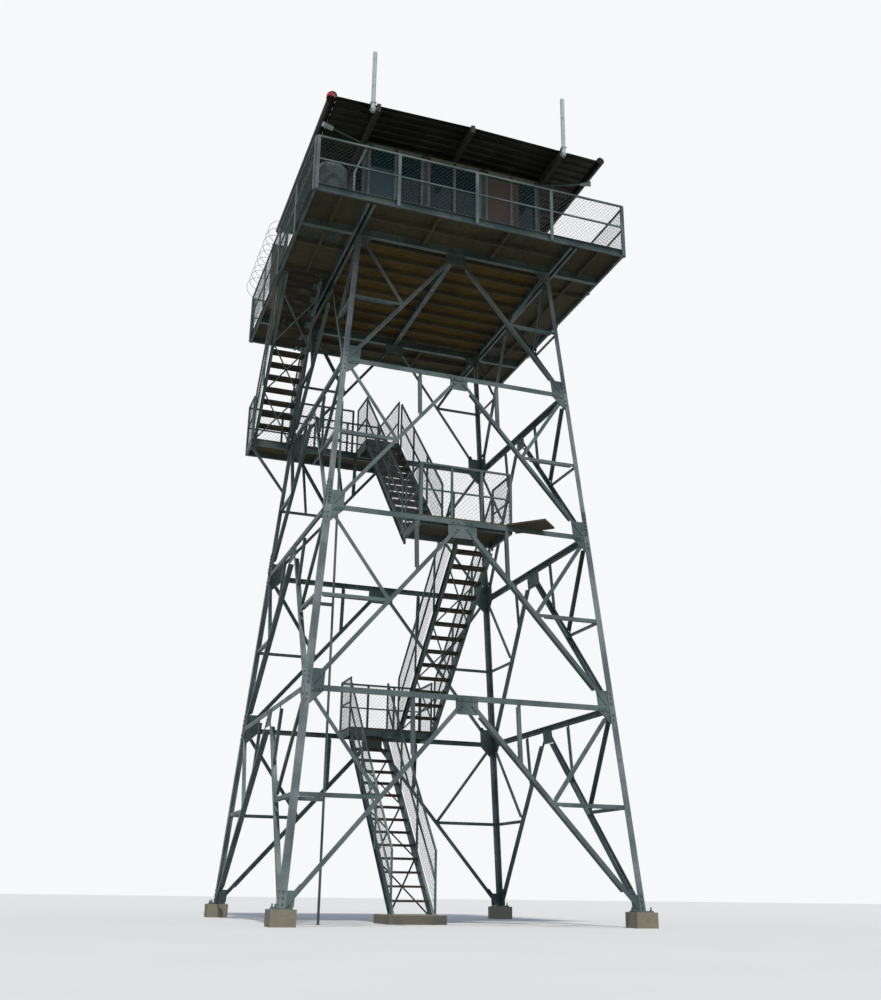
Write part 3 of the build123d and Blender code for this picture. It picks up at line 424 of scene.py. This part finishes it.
# Bolts: hexagonal heads through legs, plates and rings, and down the splices. Four anchor bolts
# with nuts hold each leg's foot plate on its pier.
HEAD_HEIGHT, HEAD_RADIUS, LEG_BOLT_INSET, HEXAGON = 0.013, 0.017, 0.055, 6
FOOT_BOLTS, RING_BOLTS, TOP_BOLTS = (0.08, 0.17, 0.26), (-0.19, -0.1, 0.1, 0.2, 0.28), (-0.2, -0.12)
BEAM_END_BOLTS, BEAM_MIDDLE_BOLTS, BRACE_TOP_BOLTS = (0.19, 0.25, 0.31), (0.09, 0.18), (0.17, 0.24)
BRACE_ACROSS, BRACE_DOWN = 0.64, 0.77
FOOT_PLATE, LEG_MIDDLE, ANCHOR_REACH = 0.02, 0.057, 0.115
NUT_HEIGHT, NUT_RADIUS, STUD_HEIGHT, STUD_RADIUS = 0.022, 0.021, 0.06, 0.012
bolts = Solid()


def add_bolt(side, across, height, out):
    """A hexagonal head on a battered side."""
    place = on_face(side, across, height, out)
    bolts.rod(place, place + outward(side) * HEAD_HEIGHT, HEAD_RADIUS, HEXAGON)


for side in range(4):
    for hand in (-1, 1):
        for height, rises in zip(NODE_HEIGHTS, (FOOT_BOLTS, *[RING_BOLTS] * 3, TOP_BOLTS)):
            for rise in rises:
                across = half_width(height + rise) - LEG_BOLT_INSET
                add_bolt(side, hand * across, height + rise, 0.0)
            if rises == RING_BOLTS:
                ends = tuple(half_width(height) - away for away in BEAM_END_BOLTS)
                for across in ends + BEAM_MIDDLE_BOLTS:
                    add_bolt(side, hand * across, height, FACE_BACK)
            if height > 0:
                for down in BRACE_TOP_BOLTS:
                    across = hand * down * BRACE_ACROSS
                    add_bolt(side, across, height - down * BRACE_DOWN, FACE_BACK)
        for rise in SPLICE_BOLTS:
            across = half_width(SPLICE_HEIGHT + rise) - SPLICE_INSET
            add_bolt(side, hand * across, SPLICE_HEIGHT + rise, SPLICE_THICK)
for x in (-1, 1):
    for y in (-1, 1):
        for away_x in (-ANCHOR_REACH, ANCHOR_REACH):
            for away_y in (-ANCHOR_REACH, ANCHOR_REACH):
                leg_x, leg_y = x * (BASE_HALF - LEG_MIDDLE), y * (BASE_HALF - LEG_MIDDLE)
                foot = Vector((leg_x + away_x, leg_y + away_y, PIER_TOP + FOOT_PLATE))
                bolts.rod(foot, foot + Vector((0, 0, NUT_HEIGHT)), NUT_RADIUS, HEXAGON)
                bolts.rod(foot, foot + Vector((0, 0, STUD_HEIGHT)), STUD_RADIUS)
bolts.piece("bolts", steel, "galvanized_steel")

# Treads: dry red-brown planks with the grain along the step, paler where feet have worn them.
# Each one rests on lips inside the two channels of its flight.
tread_wood = Finish("tread_wood", 0.8)
grain = tread_wood.noise(14.0, 6.0, tread_wood.stretched(tread_wood.place, 1.0, 14.0, 14.0))
wood = tread_wood.mix(grain.between(0.3, 0.7), (0.055, 0.043, 0.034), (0.11, 0.088, 0.068))
wood = tread_wood.mix(tread_wood.noise(2.2).between(0.5, 0.7) * 0.5, wood, (0.22, 0.20, 0.17))
tread_wood.use(wood, None, grain, 0.003)
dress(tread_wood, "treads_1", "treads_2", "treads_3", "treads_4")


# Landing boards: weathered greyish-beige planks on the landings' steel frames, laid along the
# landings with narrow gaps between them.
def timber(name, pitch, across, dark_wood, light_wood):
    """Old planks laid side by side at a pitch across a level direction, no two alike."""
    finish = Finish(name, 0.85)
    angle = math.atan2(across[0], -across[1])
    turned = finish.node(
        "ShaderNodeMapping", {"vector_type": "POINT"}, finish.place, (0, 0, 0), (0, 0, -angle), (1, 1, 1)
    )
    fibres = finish.noise(7.0, 7.0, finish.stretched(turned, 0.9, 12.0, 12.0))
    dot = {"operation": "DOT_PRODUCT"}
    place = finish.node("ShaderNodeVectorMath", dot, finish.place, across, output="Value")
    number = finish.node("ShaderNodeMath", {"operation": "FLOOR"}, place * (1 / pitch))
    chance = finish.node("ShaderNodeTexWhiteNoise", {"noise_dimensions": "1D"}, number)
    dirt = finish.noise(1.3, 5.0).between(0.45, 0.75) * 0.5
    color = finish.mix(fibres.between(0.3, 0.7), dark_wood, light_wood)
    color = finish.mix(chance * 0.55, color, dark_wood)
    finish.use(finish.mix(dirt, color, (0.05, 0.04, 0.03)), None, fibres, 0.003)
    return finish


def lay_boards(solid, low, high, top, thick, along, width, gap):
    """Covers a level rectangle with boards that run along a direction, and trims them to it."""
    across = Vector((-along[1], along[0], 0)).normalized()
    corners = ((low[0], low[1]), (high[0], low[1]), (high[0], high[1]), (low[0], high[1]))
    field = [Vector((*corner, 0)) for corner in corners]
    reach = [corner.dot(across) for corner in field]
    first = math.floor(min(reach) / width)
    for number in range(first, math.ceil(max(reach) / width)):
        start = number * width
        board = kept(kept(field, across, start + width - gap / 2), -across, -start - gap / 2)
        if len(board) > 2:
            solid.prism([point + Vector((0, 0, top)) for point in board], (0, 0, -thick))


ALONG_X, ALONG_Y = (1, 0, 0), (0, 1, 0)
BOARD = 0.235
FIRST_TOP, SECOND_TOP, GALLERY_TOP, LANDING_PLANK = 3.75, 7.01, 10.06, 0.04
LANDING_BOARD, LANDING_GAP, LANDING_LAP = 0.19, 0.01, 0.06
FLIGHT_LEFT, FLIGHT_RIGHT, STAIR_WIDTH = -0.79, 0.26, 0.78
# Along Y: where the flights meet landings 1 and 2 and the gallery's boards, and the outer edges
EDGE_1, EDGE_2, EDGE_3 = 1.9, -1.5, 1.45
OUTER_1, OUTER_2, GALLERY_IN, GALLERY_OUT, GALLERY_LEFT = 2.742, -2.476, 2.343, 3.08, -3.2
LANDING_RIGHT, FLIGHT_EDGE = FLIGHT_RIGHT + STAIR_WIDTH, FLIGHT_LEFT + STAIR_WIDTH
side_boards = timber("side_boards", BOARD, ALONG_Y, (0.11, 0.092, 0.065), (0.19, 0.165, 0.12))
landing_boards = Solid()
for low, high, top in (
    ((FLIGHT_LEFT, EDGE_1), (LANDING_RIGHT, OUTER_1 + LANDING_LAP), FIRST_TOP),
    ((FLIGHT_LEFT, OUTER_2 - LANDING_LAP), (LANDING_RIGHT, EDGE_2), SECOND_TOP),
    ((FLIGHT_LEFT, EDGE_3), (FLIGHT_EDGE, GALLERY_IN), GALLERY_TOP),
    ((GALLERY_LEFT, GALLERY_IN), (FLIGHT_EDGE, GALLERY_OUT), GALLERY_TOP),
):
    lay_boards(landing_boards, low, high, top, LANDING_PLANK, ALONG_X, LANDING_BOARD, LANDING_GAP)
landing_boards.piece("landing_boards", side_boards, "deck_wood", "landing_decks")

# Joists, the stair hole's lid and a loose board: sawn timber, darkened by weather. A broad board
# lies askew on the near ring beam beside landing 2, and overhangs it.
SHADE_PITCH = 10.0
LOOSE_LOW, LOOSE_THICK = 6.971, 0.035
LOOSE_CORNERS = ((0.87, -2.59), (1.41, -3.14), (1.78, -2.75), (1.24, -2.20))
joist_wood = timber("joist_wood", SHADE_PITCH, ALONG_Y, (0.10, 0.085, 0.06), (0.17, 0.145, 0.11))
dress(joist_wood, "floor_joists", "spare_plank", "hatch_lid")
loose_board = Solid()
loose_board.prism([(*corner, LOOSE_LOW) for corner in LOOSE_CORNERS], (0, 0, LOOSE_THICK))
loose_board.piece("loose_board", joist_wood, "deck_wood", "spare_plank")

# Chain-link in the landings' rails: thin galvanized wires that cross at right angles, 60 mm
# apart, tied inside each frame of rail and posts.
WIRE, WIRE_STEP, SHORTEST_WIRE = 0.0046, 0.085, 0.02
RAIL_HEIGHT, RAIL_HALF, POST_GAP, LANDING_MESH_DROP = 1.05, 0.015, 0.04, 0.03
GALLERY_GATE, GALLERY_END = -2.31, FLIGHT_LEFT - 0.06
mesh_steel = Finish("mesh_wire", 0.45, 0.3)
mesh_steel.use(mesh_steel.mix(mesh_steel.noise(3.0), (0.10, 0.13, 0.125), (0.19, 0.225, 0.215)))


def chain_link(solid, start, end, height):
    """Fills the upright panel over a straight lower edge, which may climb."""
    start, end, up = Vector(start), Vector(end), Vector((0, 0, 1))
    along = Vector((end.x - start.x, end.y - start.y, 0))
    length, slope = along.length, (end.z - start.z) / along.length
    along.normalize()
    normal = along.cross(up)
    for lean in (1, -1):
        climb = lean - slope
        corners = [0, height, -climb * length, height - climb * length]
        first, last = math.ceil(min(corners) / WIRE_STEP), math.floor(max(corners) / WIRE_STEP)
        for number in range(first, last + 1):
            offset = number * WIRE_STEP
            crossings = sorted((-offset / climb, (height - offset) / climb))
            low, high = max(0.0, crossings[0]), min(length, crossings[1])
            if high - low < SHORTEST_WIRE:
                continue
            run = (along + up * lean) * (high - low)
            foot = start + along * low + up * (offset + lean * low) + normal * lean * WIRE / 2
            side, lift = run.cross(normal).normalized() * WIRE / 2, normal * WIRE / 2
            solid.prism([foot + side - lift, foot - side - lift, foot + lift], run)


def side_panel(x, near, far):
    """A panel's lower edge along Y, clear of the posts at its ends."""
    return (x, near + POST_GAP), (x, far - POST_GAP)


def cross_panel(left, right, y):
    """A panel's lower edge along X."""
    return (left, y), (right, y)


left_rail, right_rail = FLIGHT_LEFT + RAIL_HALF, LANDING_RIGHT - RAIL_HALF
LANDING_PANELS = {
    FIRST_TOP: (
        cross_panel(FLIGHT_LEFT, LANDING_RIGHT, OUTER_1 - RAIL_HALF),
        side_panel(left_rail, EDGE_1, OUTER_1),
        side_panel(right_rail, EDGE_1, OUTER_1),
    ),
    SECOND_TOP: (
        cross_panel(FLIGHT_LEFT, LANDING_RIGHT, OUTER_2 + RAIL_HALF),
        side_panel(left_rail, OUTER_2, EDGE_2),
        side_panel(right_rail, OUTER_2, EDGE_2),
    ),
    GALLERY_TOP: (
        cross_panel(GALLERY_LEFT, FLIGHT_EDGE, GALLERY_OUT - RAIL_HALF),
        cross_panel(GALLERY_GATE, GALLERY_END, GALLERY_IN + RAIL_HALF),
        side_panel(GALLERY_LEFT + RAIL_HALF, GALLERY_IN, GALLERY_OUT),
        side_panel(FLIGHT_EDGE - RAIL_HALF, EDGE_3, GALLERY_OUT),
        side_panel(left_rail, EDGE_3, GALLERY_IN),
    ),
}
landing_mesh = Solid()
for base, panels in LANDING_PANELS.items():
    for start, end in panels:
        chain_link(landing_mesh, (*start, base), (*end, base), RAIL_HEIGHT - LANDING_MESH_DROP)
landing_mesh.piece("landing_mesh", mesh_steel, "galvanized_steel")

# Chain-link beside the four flights, in the same way, and three crosses of flat bar under the
# channels of each flight, which keep it square.
deck_low, deck_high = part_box("catwalk_deck")
deck_top, plank, rim = deck_high[2], deck_high[2] - deck_low[2], deck_high[0]
TOP_LEFT, STAIR_FOOT, TOP_HEAD, PAD_TOP = -3.155, -1.4, -0.3, 0.15
TREAD_LIP, STRINGER_DEPTH, CROSS_DROP = 0.02, 0.18, 0.012
END_GAP, STAIR_MESH_DROP, CROSSES = 0.06, 0.07, 3
CROSS_START, CROSS_LENGTH, CROSS_PITCH, CROSS_INSET = 0.08, 0.26, 0.28, 0.03
CROSS_WIDTH, CROSS_THICK = 0.032, 0.006
# Left edge, foot and head of each flight
FLIGHTS = (
    (FLIGHT_LEFT, (STAIR_FOOT, PAD_TOP), (EDGE_1, FIRST_TOP)),
    (FLIGHT_RIGHT, (EDGE_1, FIRST_TOP), (EDGE_2, SECOND_TOP)),
    (FLIGHT_LEFT, (EDGE_2, SECOND_TOP), (EDGE_3, GALLERY_TOP)),
    (TOP_LEFT, (GALLERY_IN, GALLERY_TOP), (TOP_HEAD, deck_top)),
)
stair_mesh, stair_bracing = Solid(), Solid()
for left, foot, head in FLIGHTS:
    foot, head = Vector((0, *foot)), Vector((0, *head))
    run = head - foot
    inset = run * (END_GAP / abs(run.y))
    for x in (left - RAIL_HALF, left + STAIR_WIDTH + RAIL_HALF):
        start, end = (point + Vector((x, 0, 0)) for point in (foot + inset, head - inset))
        chain_link(stair_mesh, start, end, RAIL_HEIGHT - STAIR_MESH_DROP)
    drop = TREAD_LIP + STRINGER_DEPTH * run.length / abs(run.y) + CROSS_DROP
    for number in range(CROSSES):
        share = CROSS_START + CROSS_PITCH * number
        near, far = foot + run * share, foot + run * (share + CROSS_LENGTH)
        ends = (left + CROSS_INSET, left + STAIR_WIDTH - CROSS_INSET)
        for first, last in (ends, ends[::-1]):
            start, end = near + Vector((first, 0, -drop)), far + Vector((last, 0, -drop))
            stair_bracing.bar(start, end, run.cross(Vector(ALONG_X)), CROSS_WIDTH, CROSS_THICK)
stair_mesh.piece("stair_mesh", mesh_steel, "galvanized_steel")
stair_bracing.piece("stair_bracing", steel, "galvanized_steel")

# Boards under the cab: orange-brown planks, sheltered from the weather and laid diagonally over
# the joists.
DIAGONAL_BOARD, DIAGONAL_GAP, DIAGONAL_ACROSS = 0.146, 0.008, (0.7071, 0.7071, 0)
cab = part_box("cab_floor")[1][0]
floor_boards = timber(
    "floor_boards", DIAGONAL_BOARD, DIAGONAL_ACROSS, (0.135, 0.085, 0.03), (0.28, 0.185, 0.065)
)
under_cab = Solid()
lay_boards(under_cab, (-cab, -cab), (cab, cab), deck_top, plank, (1, -1, 0), DIAGONAL_BOARD, DIAGONAL_GAP)
under_cab.piece("cab_floor_boards", floor_boards, "deck_wood", "cab_floor")

# Catwalk boards: grey-beige planks that run outwards from the cab on all four sides, over the
# steel under the deck. On the left they leave a hole for the top flight.
HOLE_NEAR, HOLE_FAR, HOLE_LEFT, HOLE_RIGHT = -0.30, 1.50, -3.20, -2.33
BOARD_GAP, SEAM = 0.005, 0.003
seam = cab + SEAM
cross_boards = timber("cross_boards", BOARD, ALONG_X, (0.088, 0.078, 0.05), (0.155, 0.138, 0.092))
across_strips, side_strips = Solid(), Solid()
for low, high in ((-rim, -seam), (seam, rim)):
    lay_boards(across_strips, (-rim, low), (rim, high), deck_top, plank, ALONG_Y, BOARD, BOARD_GAP)
for low, high in (
    ((seam, -seam), (rim, seam)),
    ((-rim, -seam), (-seam, HOLE_NEAR)),
    ((-rim, HOLE_FAR), (-seam, seam)),
    ((HOLE_RIGHT, HOLE_NEAR), (-seam, HOLE_FAR)),
    ((-rim, HOLE_NEAR), (HOLE_LEFT, HOLE_FAR)),
):
    lay_boards(side_strips, low, high, deck_top, plank, ALONG_X, BOARD, BOARD_GAP)
across_strips.piece("catwalk_boards_near_far", cross_boards, "deck_wood", "catwalk_deck")
side_strips.piece("catwalk_boards_sides", side_boards, "deck_wood")

# Grating: a row of small steel ribs fixed under the deck, near the stair hole. It shows from
# below, on the left side.
RIBS, RIB_PITCH, RIB_INSET, RIB_NEAR, RIB_FAR = 18, 0.047, 0.04, -1.93, -1.25
RIB_DROP, RIB_WIDTH, RIB_THICK = 0.012, 0.018, 0.02
grating = Solid()
for number in range(RIBS):
    x, z = HOLE_LEFT + RIB_INSET + RIB_PITCH * number, deck_top - plank - RIB_DROP
    grating.bar((x, RIB_NEAR, z), (x, RIB_FAR, z), (0, 0, 1), RIB_WIDTH, RIB_THICK)
grating.piece("deck_grating", steel, "galvanized_steel")

# Upright boards, of the same timber as the lid, fill the space between the stair hole's open lid
# and the cab's wall.
FILL_BOARDS, FILL_PITCH, FILL_WIDTH, FILL_GAP = 3, 0.112, 0.106, 0.006
lid_low, lid_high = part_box("hatch_lid")
side_fill = Solid()
for number in range(FILL_BOARDS):
    left = lid_high[0] + FILL_GAP + number * FILL_PITCH
    side_fill.box((left, lid_low[1], deck_top), (left + FILL_WIDTH, lid_high[1], lid_high[2]))
side_fill.piece("lid_side_boards", joist_wood, "deck_wood")

# Chain-link in the catwalk's rail, on all four sides: the same mesh as on the stairs, tied to the
# top rail and the posts.
CATWALK_MESH_DROP = 0.04
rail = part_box("catwalk_rails")[1][0] - RAIL_HALF
corners = ((-rail, -rail), (rail, -rail), (rail, rail), (-rail, rail))
catwalk_mesh = Solid()
for start, end in zip(corners, corners[1:] + corners[:1]):
    chain_link(catwalk_mesh, (*start, deck_top), (*end, deck_top), RAIL_HEIGHT - CATWALK_MESH_DROP)
catwalk_mesh.piece("catwalk_mesh", mesh_steel, "galvanized_steel")

# Coil of stiff steel wire: nine wide turns, pulled apart along the far half of the left rail and
# hooked over it.
COIL_RADIUS, COIL_TURNS, TURN_STEPS = 0.23, 9, 20
COIL_SWAY, SWAY_RATE = 0.03, 0.37
COIL_WIRE, COIL_SIDES = 0.005, 5
COIL_START, COIL_END = Vector((-3.26, 0.2, 14.2)), Vector((-3.26, 3.1, 14.22))
turns = []
for number in range(COIL_TURNS * TURN_STEPS + 1):
    angle = 2 * math.pi * number / TURN_STEPS
    centre = COIL_START.lerp(COIL_END, number / (COIL_TURNS * TURN_STEPS))
    sway = COIL_SWAY * math.sin(SWAY_RATE * angle)
    turns.append(centre + Vector((COIL_RADIUS * math.cos(angle), sway, COIL_RADIUS * math.sin(angle))))
coil = Solid()
for start, end in zip(turns, turns[1:]):
    coil.rod(start, end, COIL_WIRE, COIL_SIDES)
coil.piece("rail_coil", steel, "galvanized_steel")


# Cab walls and door: painted timber, greyed and peeling, with boards laid level below the sills.
# The door in the left wall interrupts them.
def on_wall(side, across, height, out):
    """A point on an upright side of the cab."""
    return Matrix.Rotation(math.radians(90 * side), 3, "Z") @ Vector((across, -out, height))


def block(solid, side, left, right, low, high, inner, outer):
    """A box that lies square to one side of the cab."""
    corners = ((left, low), (right, low), (right, high), (left, high))
    solid.prism([on_wall(side, *corner, inner) for corner in corners], on_wall(side, 0, 0, outer - inner))


DOOR_SIDE, DOOR_CENTRE, DOOR_HALF = 3, 1.36, 0.43
SIDING_ROWS, SIDING_PITCH, SIDING_HEIGHT, SIDING_START, SIDING_THICK = 6, 0.135, 0.129, 0.01, 0.012
paint = Finish("wall_paint", 0.7)
coat = paint.mix(paint.noise(3.0, 6.0).between(0.4, 0.7), (0.13, 0.145, 0.14), (0.20, 0.22, 0.21))
coat = paint.mix(paint.noise(9.0, 8.0).between(0.6, 0.7) * 0.5, coat, (0.10, 0.08, 0.06))
paint.use(coat, None, paint.noise(30.0, 4.0), 0.001)
dress(paint, "wall_near", "wall_right", "wall_far", "wall_left", "cab_door")
siding = Solid()
for side in range(4):
    spans = ((-cab, cab),)
    if side == DOOR_SIDE:
        spans = ((-cab, DOOR_CENTRE - DOOR_HALF), (DOOR_CENTRE + DOOR_HALF, cab))
    for number in range(SIDING_ROWS):
        low = deck_top + SIDING_START + number * SIDING_PITCH
        for left, right in spans:
            block(siding, side, left, right, low, low + SIDING_HEIGHT, cab, cab + SIDING_THICK)
siding.piece("wall_siding", paint, "painted_wood")

# Windows: three to a side and two beside the door, each of two lights in a pale painted sash that
# stands a little proud, over a sill and under a brown head.
SILL, WINDOW_HEIGHT = 0.85, 1.30
# Width and pitch, on the near and far sides and on the other two
NEAR_WINDOW, SIDE_WINDOW = (1.2, 1.31), (1.1667, 1.2767)
STILE, RAIL, SASH_IN, SASH_OUT = 0.045, 0.05, 0.035, 0.012
MULLION_LEFT, MULLION_RIGHT = 0.03, 0.022
LEDGE, SILL_THICK, SILL_IN, SILL_OUT = 0.02, 0.03, 0.02, 0.035
HEAD_THICK, HEAD_IN, HEAD_OUT = 0.022, 0.01, 0.024
sill = deck_top + SILL
head = sill + WINDOW_HEIGHT
frame_paint = Finish("frame_paint", 0.5)
chalky = frame_paint.noise(5.0, 5.0).between(0.45, 0.7)
frame_paint.use(frame_paint.mix(chalky, (0.38, 0.42, 0.40), (0.27, 0.29, 0.27)))
head_paint = Finish("head_paint", 0.6)
head_paint.use(head_paint.mix(head_paint.noise(5.0, 5.0), (0.36, 0.29, 0.20), (0.27, 0.22, 0.16)))
sashes, heads = Solid(), Solid()
for side in range(4):
    width, pitch = NEAR_WINDOW if side % 2 == 0 else SIDE_WINDOW
    for centre in (-pitch, 0, pitch):
        if side == DOOR_SIDE and centre > 0:
            continue
        left, right = centre - width / 2, centre + width / 2
        inner, outer = cab - SASH_IN, cab + SASH_OUT
        for start, end in (
            (left, left + STILE),
            (right - STILE, right),
            (centre - MULLION_LEFT, centre + MULLION_RIGHT),
        ):
            block(sashes, side, start, end, sill, head, inner, outer)
        block(sashes, side, left, right, sill, sill + RAIL, inner, outer)
        block(sashes, side, left, right, head - RAIL, head, inner, outer)
        left, right = left - LEDGE, right + LEDGE
        block(sashes, side, left, right, sill - SILL_THICK, sill, cab - SILL_IN, cab + SILL_OUT)
        block(heads, side, left, right, head, head + HEAD_THICK, cab - HEAD_IN, cab + HEAD_OUT)
sashes.piece("window_frames", frame_paint, "painted_wood")
heads.piece("window_heads", head_paint, "painted_wood")

# Glass: flat panes in the windows and in the door, almost opaque. Their dark, faintly blue-green
# colour is painted shade, which stands in for the unlit cab behind them.
GLASS_PAINTED_SHADE, GLASS_OPACITY = (0.006, 0.05, 0.068, 1), 0.93
glass = Finish("window_glass", 0.05, 0.0, 0.2)
glass.shader.inputs["Base Color"].default_value = GLASS_PAINTED_SHADE
glass.shader.inputs["Alpha"].default_value = GLASS_OPACITY
dress(glass, "window_glass")

# Panels: thin painted sheets that stand right behind the near windows, a brown-pink one on the
# right, in two leaves, and a pale one on the left that leaves a gap at the top.
PANEL_IN, PANEL_OUT = 0.042, 0.036
BROWN_LEAVES, BROWN_DROP = ((0.73, 1.28), (1.31, 1.50)), 0.12
PALE_LEFT, PALE_RIGHT, PALE_LOW, PALE_HIGH = -1.87, -1.34, 0.05, 0.80
brown_panel = Finish("brown_panel", 0.9)
brown_panel.use(brown_panel.mix(brown_panel.noise(2.0, 4.0), (0.29, 0.18, 0.14), (0.20, 0.13, 0.10)))
pale_panel = Finish("pale_panel", 0.9)
pale_panel.use(pale_panel.mix(pale_panel.noise(1.5, 4.0), (0.17, 0.25, 0.27), (0.11, 0.17, 0.19)))
panel = Solid()
for left, right in BROWN_LEAVES:
    block(panel, 0, left, right, sill, head - BROWN_DROP, cab - PANEL_IN, cab - PANEL_OUT)
panel.piece("brown_window_panel", brown_panel, "painted_wood")
panel = Solid()
block(panel, 0, PALE_LEFT, PALE_RIGHT, sill + PALE_LOW, sill + PALE_HIGH, cab - PANEL_IN, cab - PANEL_OUT)
panel.piece("pale_window_panel", pale_panel, "painted_wood")

# Roof: three dark stained rafters carry a ribbed steel sheet, nearly black with age. Round edge
# tubes close its two sides.
soffit_wood = Finish("soffit_wood", 0.8)
stain = soffit_wood.mix(soffit_wood.noise(4.0, 5.0), (0.055, 0.05, 0.042), (0.10, 0.09, 0.075))
soffit_wood.use(stain)
dress(soffit_wood, "roof_rafters")
roof_steel = Finish("roof_steel", 0.6, 0.3)
aged = roof_steel.noise(2.0, 5.0).between(0.4, 0.65)
sheet = roof_steel.mix(aged, (0.024, 0.026, 0.022), (0.050, 0.050, 0.041))
roof_steel.use(sheet, None, roof_steel.noise(40.0), 0.001)
dress(roof_steel, "roof_sheet")
dark = Finish("dark_edge", 0.45, 0.2)
dark.use(dark.mix(dark.noise(5.0).between(0.4, 0.7), (0.016, 0.014, 0.014), (0.035, 0.032, 0.030)))
dress(dark, "roof_edge_tubes")

# Radio masts: white coated tubes, each held by two flat clamps, the left one on the roof's near
# edge and the right one on a rafter's nose. The lamps' heads have the same coat.
CLAMP_RISES, CLAMP_HALF, CLAMP_HEIGHT, CLAMP_IN, CLAMP_OUT = (0.05, 0.2), 0.055, 0.022, 0.02, 0.093
RAFTER_NOSE = 0.07
white = Finish("white_coat", 0.4)
white.use(white.mix(white.noise(8.0).between(0.5, 0.75), (0.74, 0.80, 0.80), (0.58, 0.61, 0.59)))
dress(white, "radio_masts", "lamp_heads")
mast_low, mast_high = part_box("radio_masts")
MAST_RADIUS = 0.044
clamps = Solid()
for x, behind in ((mast_low[0] + MAST_RADIUS, 0), (mast_high[0] - MAST_RADIUS, RAFTER_NOSE)):
    back = behind - mast_high[1]
    for rise in CLAMP_RISES:
        low = mast_low[2] + rise
        high, inner, outer = low + CLAMP_HEIGHT, back - CLAMP_IN, back + CLAMP_OUT
        block(clamps, 0, x - CLAMP_HALF, x + CLAMP_HALF, low, high, inner, outer)
clamps.piece("mast_clamps", white, "white_paint")

# Warning lamp: a glossy red dome of cast plastic at the roof's near left corner. An angle bracket
# on the end of the edge tube carries it.
DOME_PLACE, DOME_RADIUS, DOME_STEP = Vector((-3.02, -3.096, 15.165)), 0.088, 0.026
DOME_SHARES, DOME_SIDES = (1.0, 1.0, 0.93, 0.77, 0.48), 20
SHELF_LEFT, PLATE_LEFT, BRACKET_RIGHT, TUBE_END = -3.08, -2.99, -2.94, -3.0
SHELF_LOW, PLATE_HIGH, SHELF_REACH, PLATE_REACH = 15.15, 15.36, 0.15, 0.007
red = Finish("red_lens", 0.15, 0.0, 0.5)
red.use(red.mix(red.noise(20.0), (0.42, 0.01, 0.012), (0.55, 0.03, 0.03)))
lens = Solid()
for number, share in enumerate(DOME_SHARES):
    foot = DOME_PLACE + Vector((0, 0, DOME_STEP * number))
    lens.rod(foot, foot + Vector((0, 0, DOME_STEP)), DOME_RADIUS * share, DOME_SIDES)
lens.piece("red_dome", red, "red_lens", "roof_lamp")
holder = Solid()
for left, reach, high in (
    (SHELF_LEFT, SHELF_REACH, DOME_PLACE.z),
    (PLATE_LEFT, PLATE_REACH, PLATE_HIGH),
):
    holder.box((left, TUBE_END - reach, SHELF_LOW), (BRACKET_RIGHT, TUBE_END, high))
holder.piece("lamp_holder", dark, "dark_paint")

# Drum on the deck: grey moulded plastic, dulled by the sun. It stands in the near left corner of
# the catwalk.
drum = Finish("drum_plastic", 0.6)
dull = drum.noise(4.0, 5.0).between(0.4, 0.7)
drum.use(drum.mix(dull, (0.135, 0.165, 0.165), (0.09, 0.115, 0.115)))
dress(drum, "deck_drum")

# Conduit: a thin white pipe that climbs from the deck by the cab's near left corner and bends
# inwards up to the eaves.
CONDUIT_RADIUS, CONDUIT_SIDES, BEND_HEIGHT = 0.022, 12, 14.33
CONDUIT_PLACE, CONDUIT_TOP = (-2.22, -2.10), (-1.95, -2.05, 15.10)
bend = (*CONDUIT_PLACE, BEND_HEIGHT)
conduit = Solid()
for start, end in (((*CONDUIT_PLACE, deck_top), bend), (bend, CONDUIT_TOP)):
    conduit.rod(start, end, CONDUIT_RADIUS, CONDUIT_SIDES)
conduit.piece("wall_conduit", white, "white_paint")
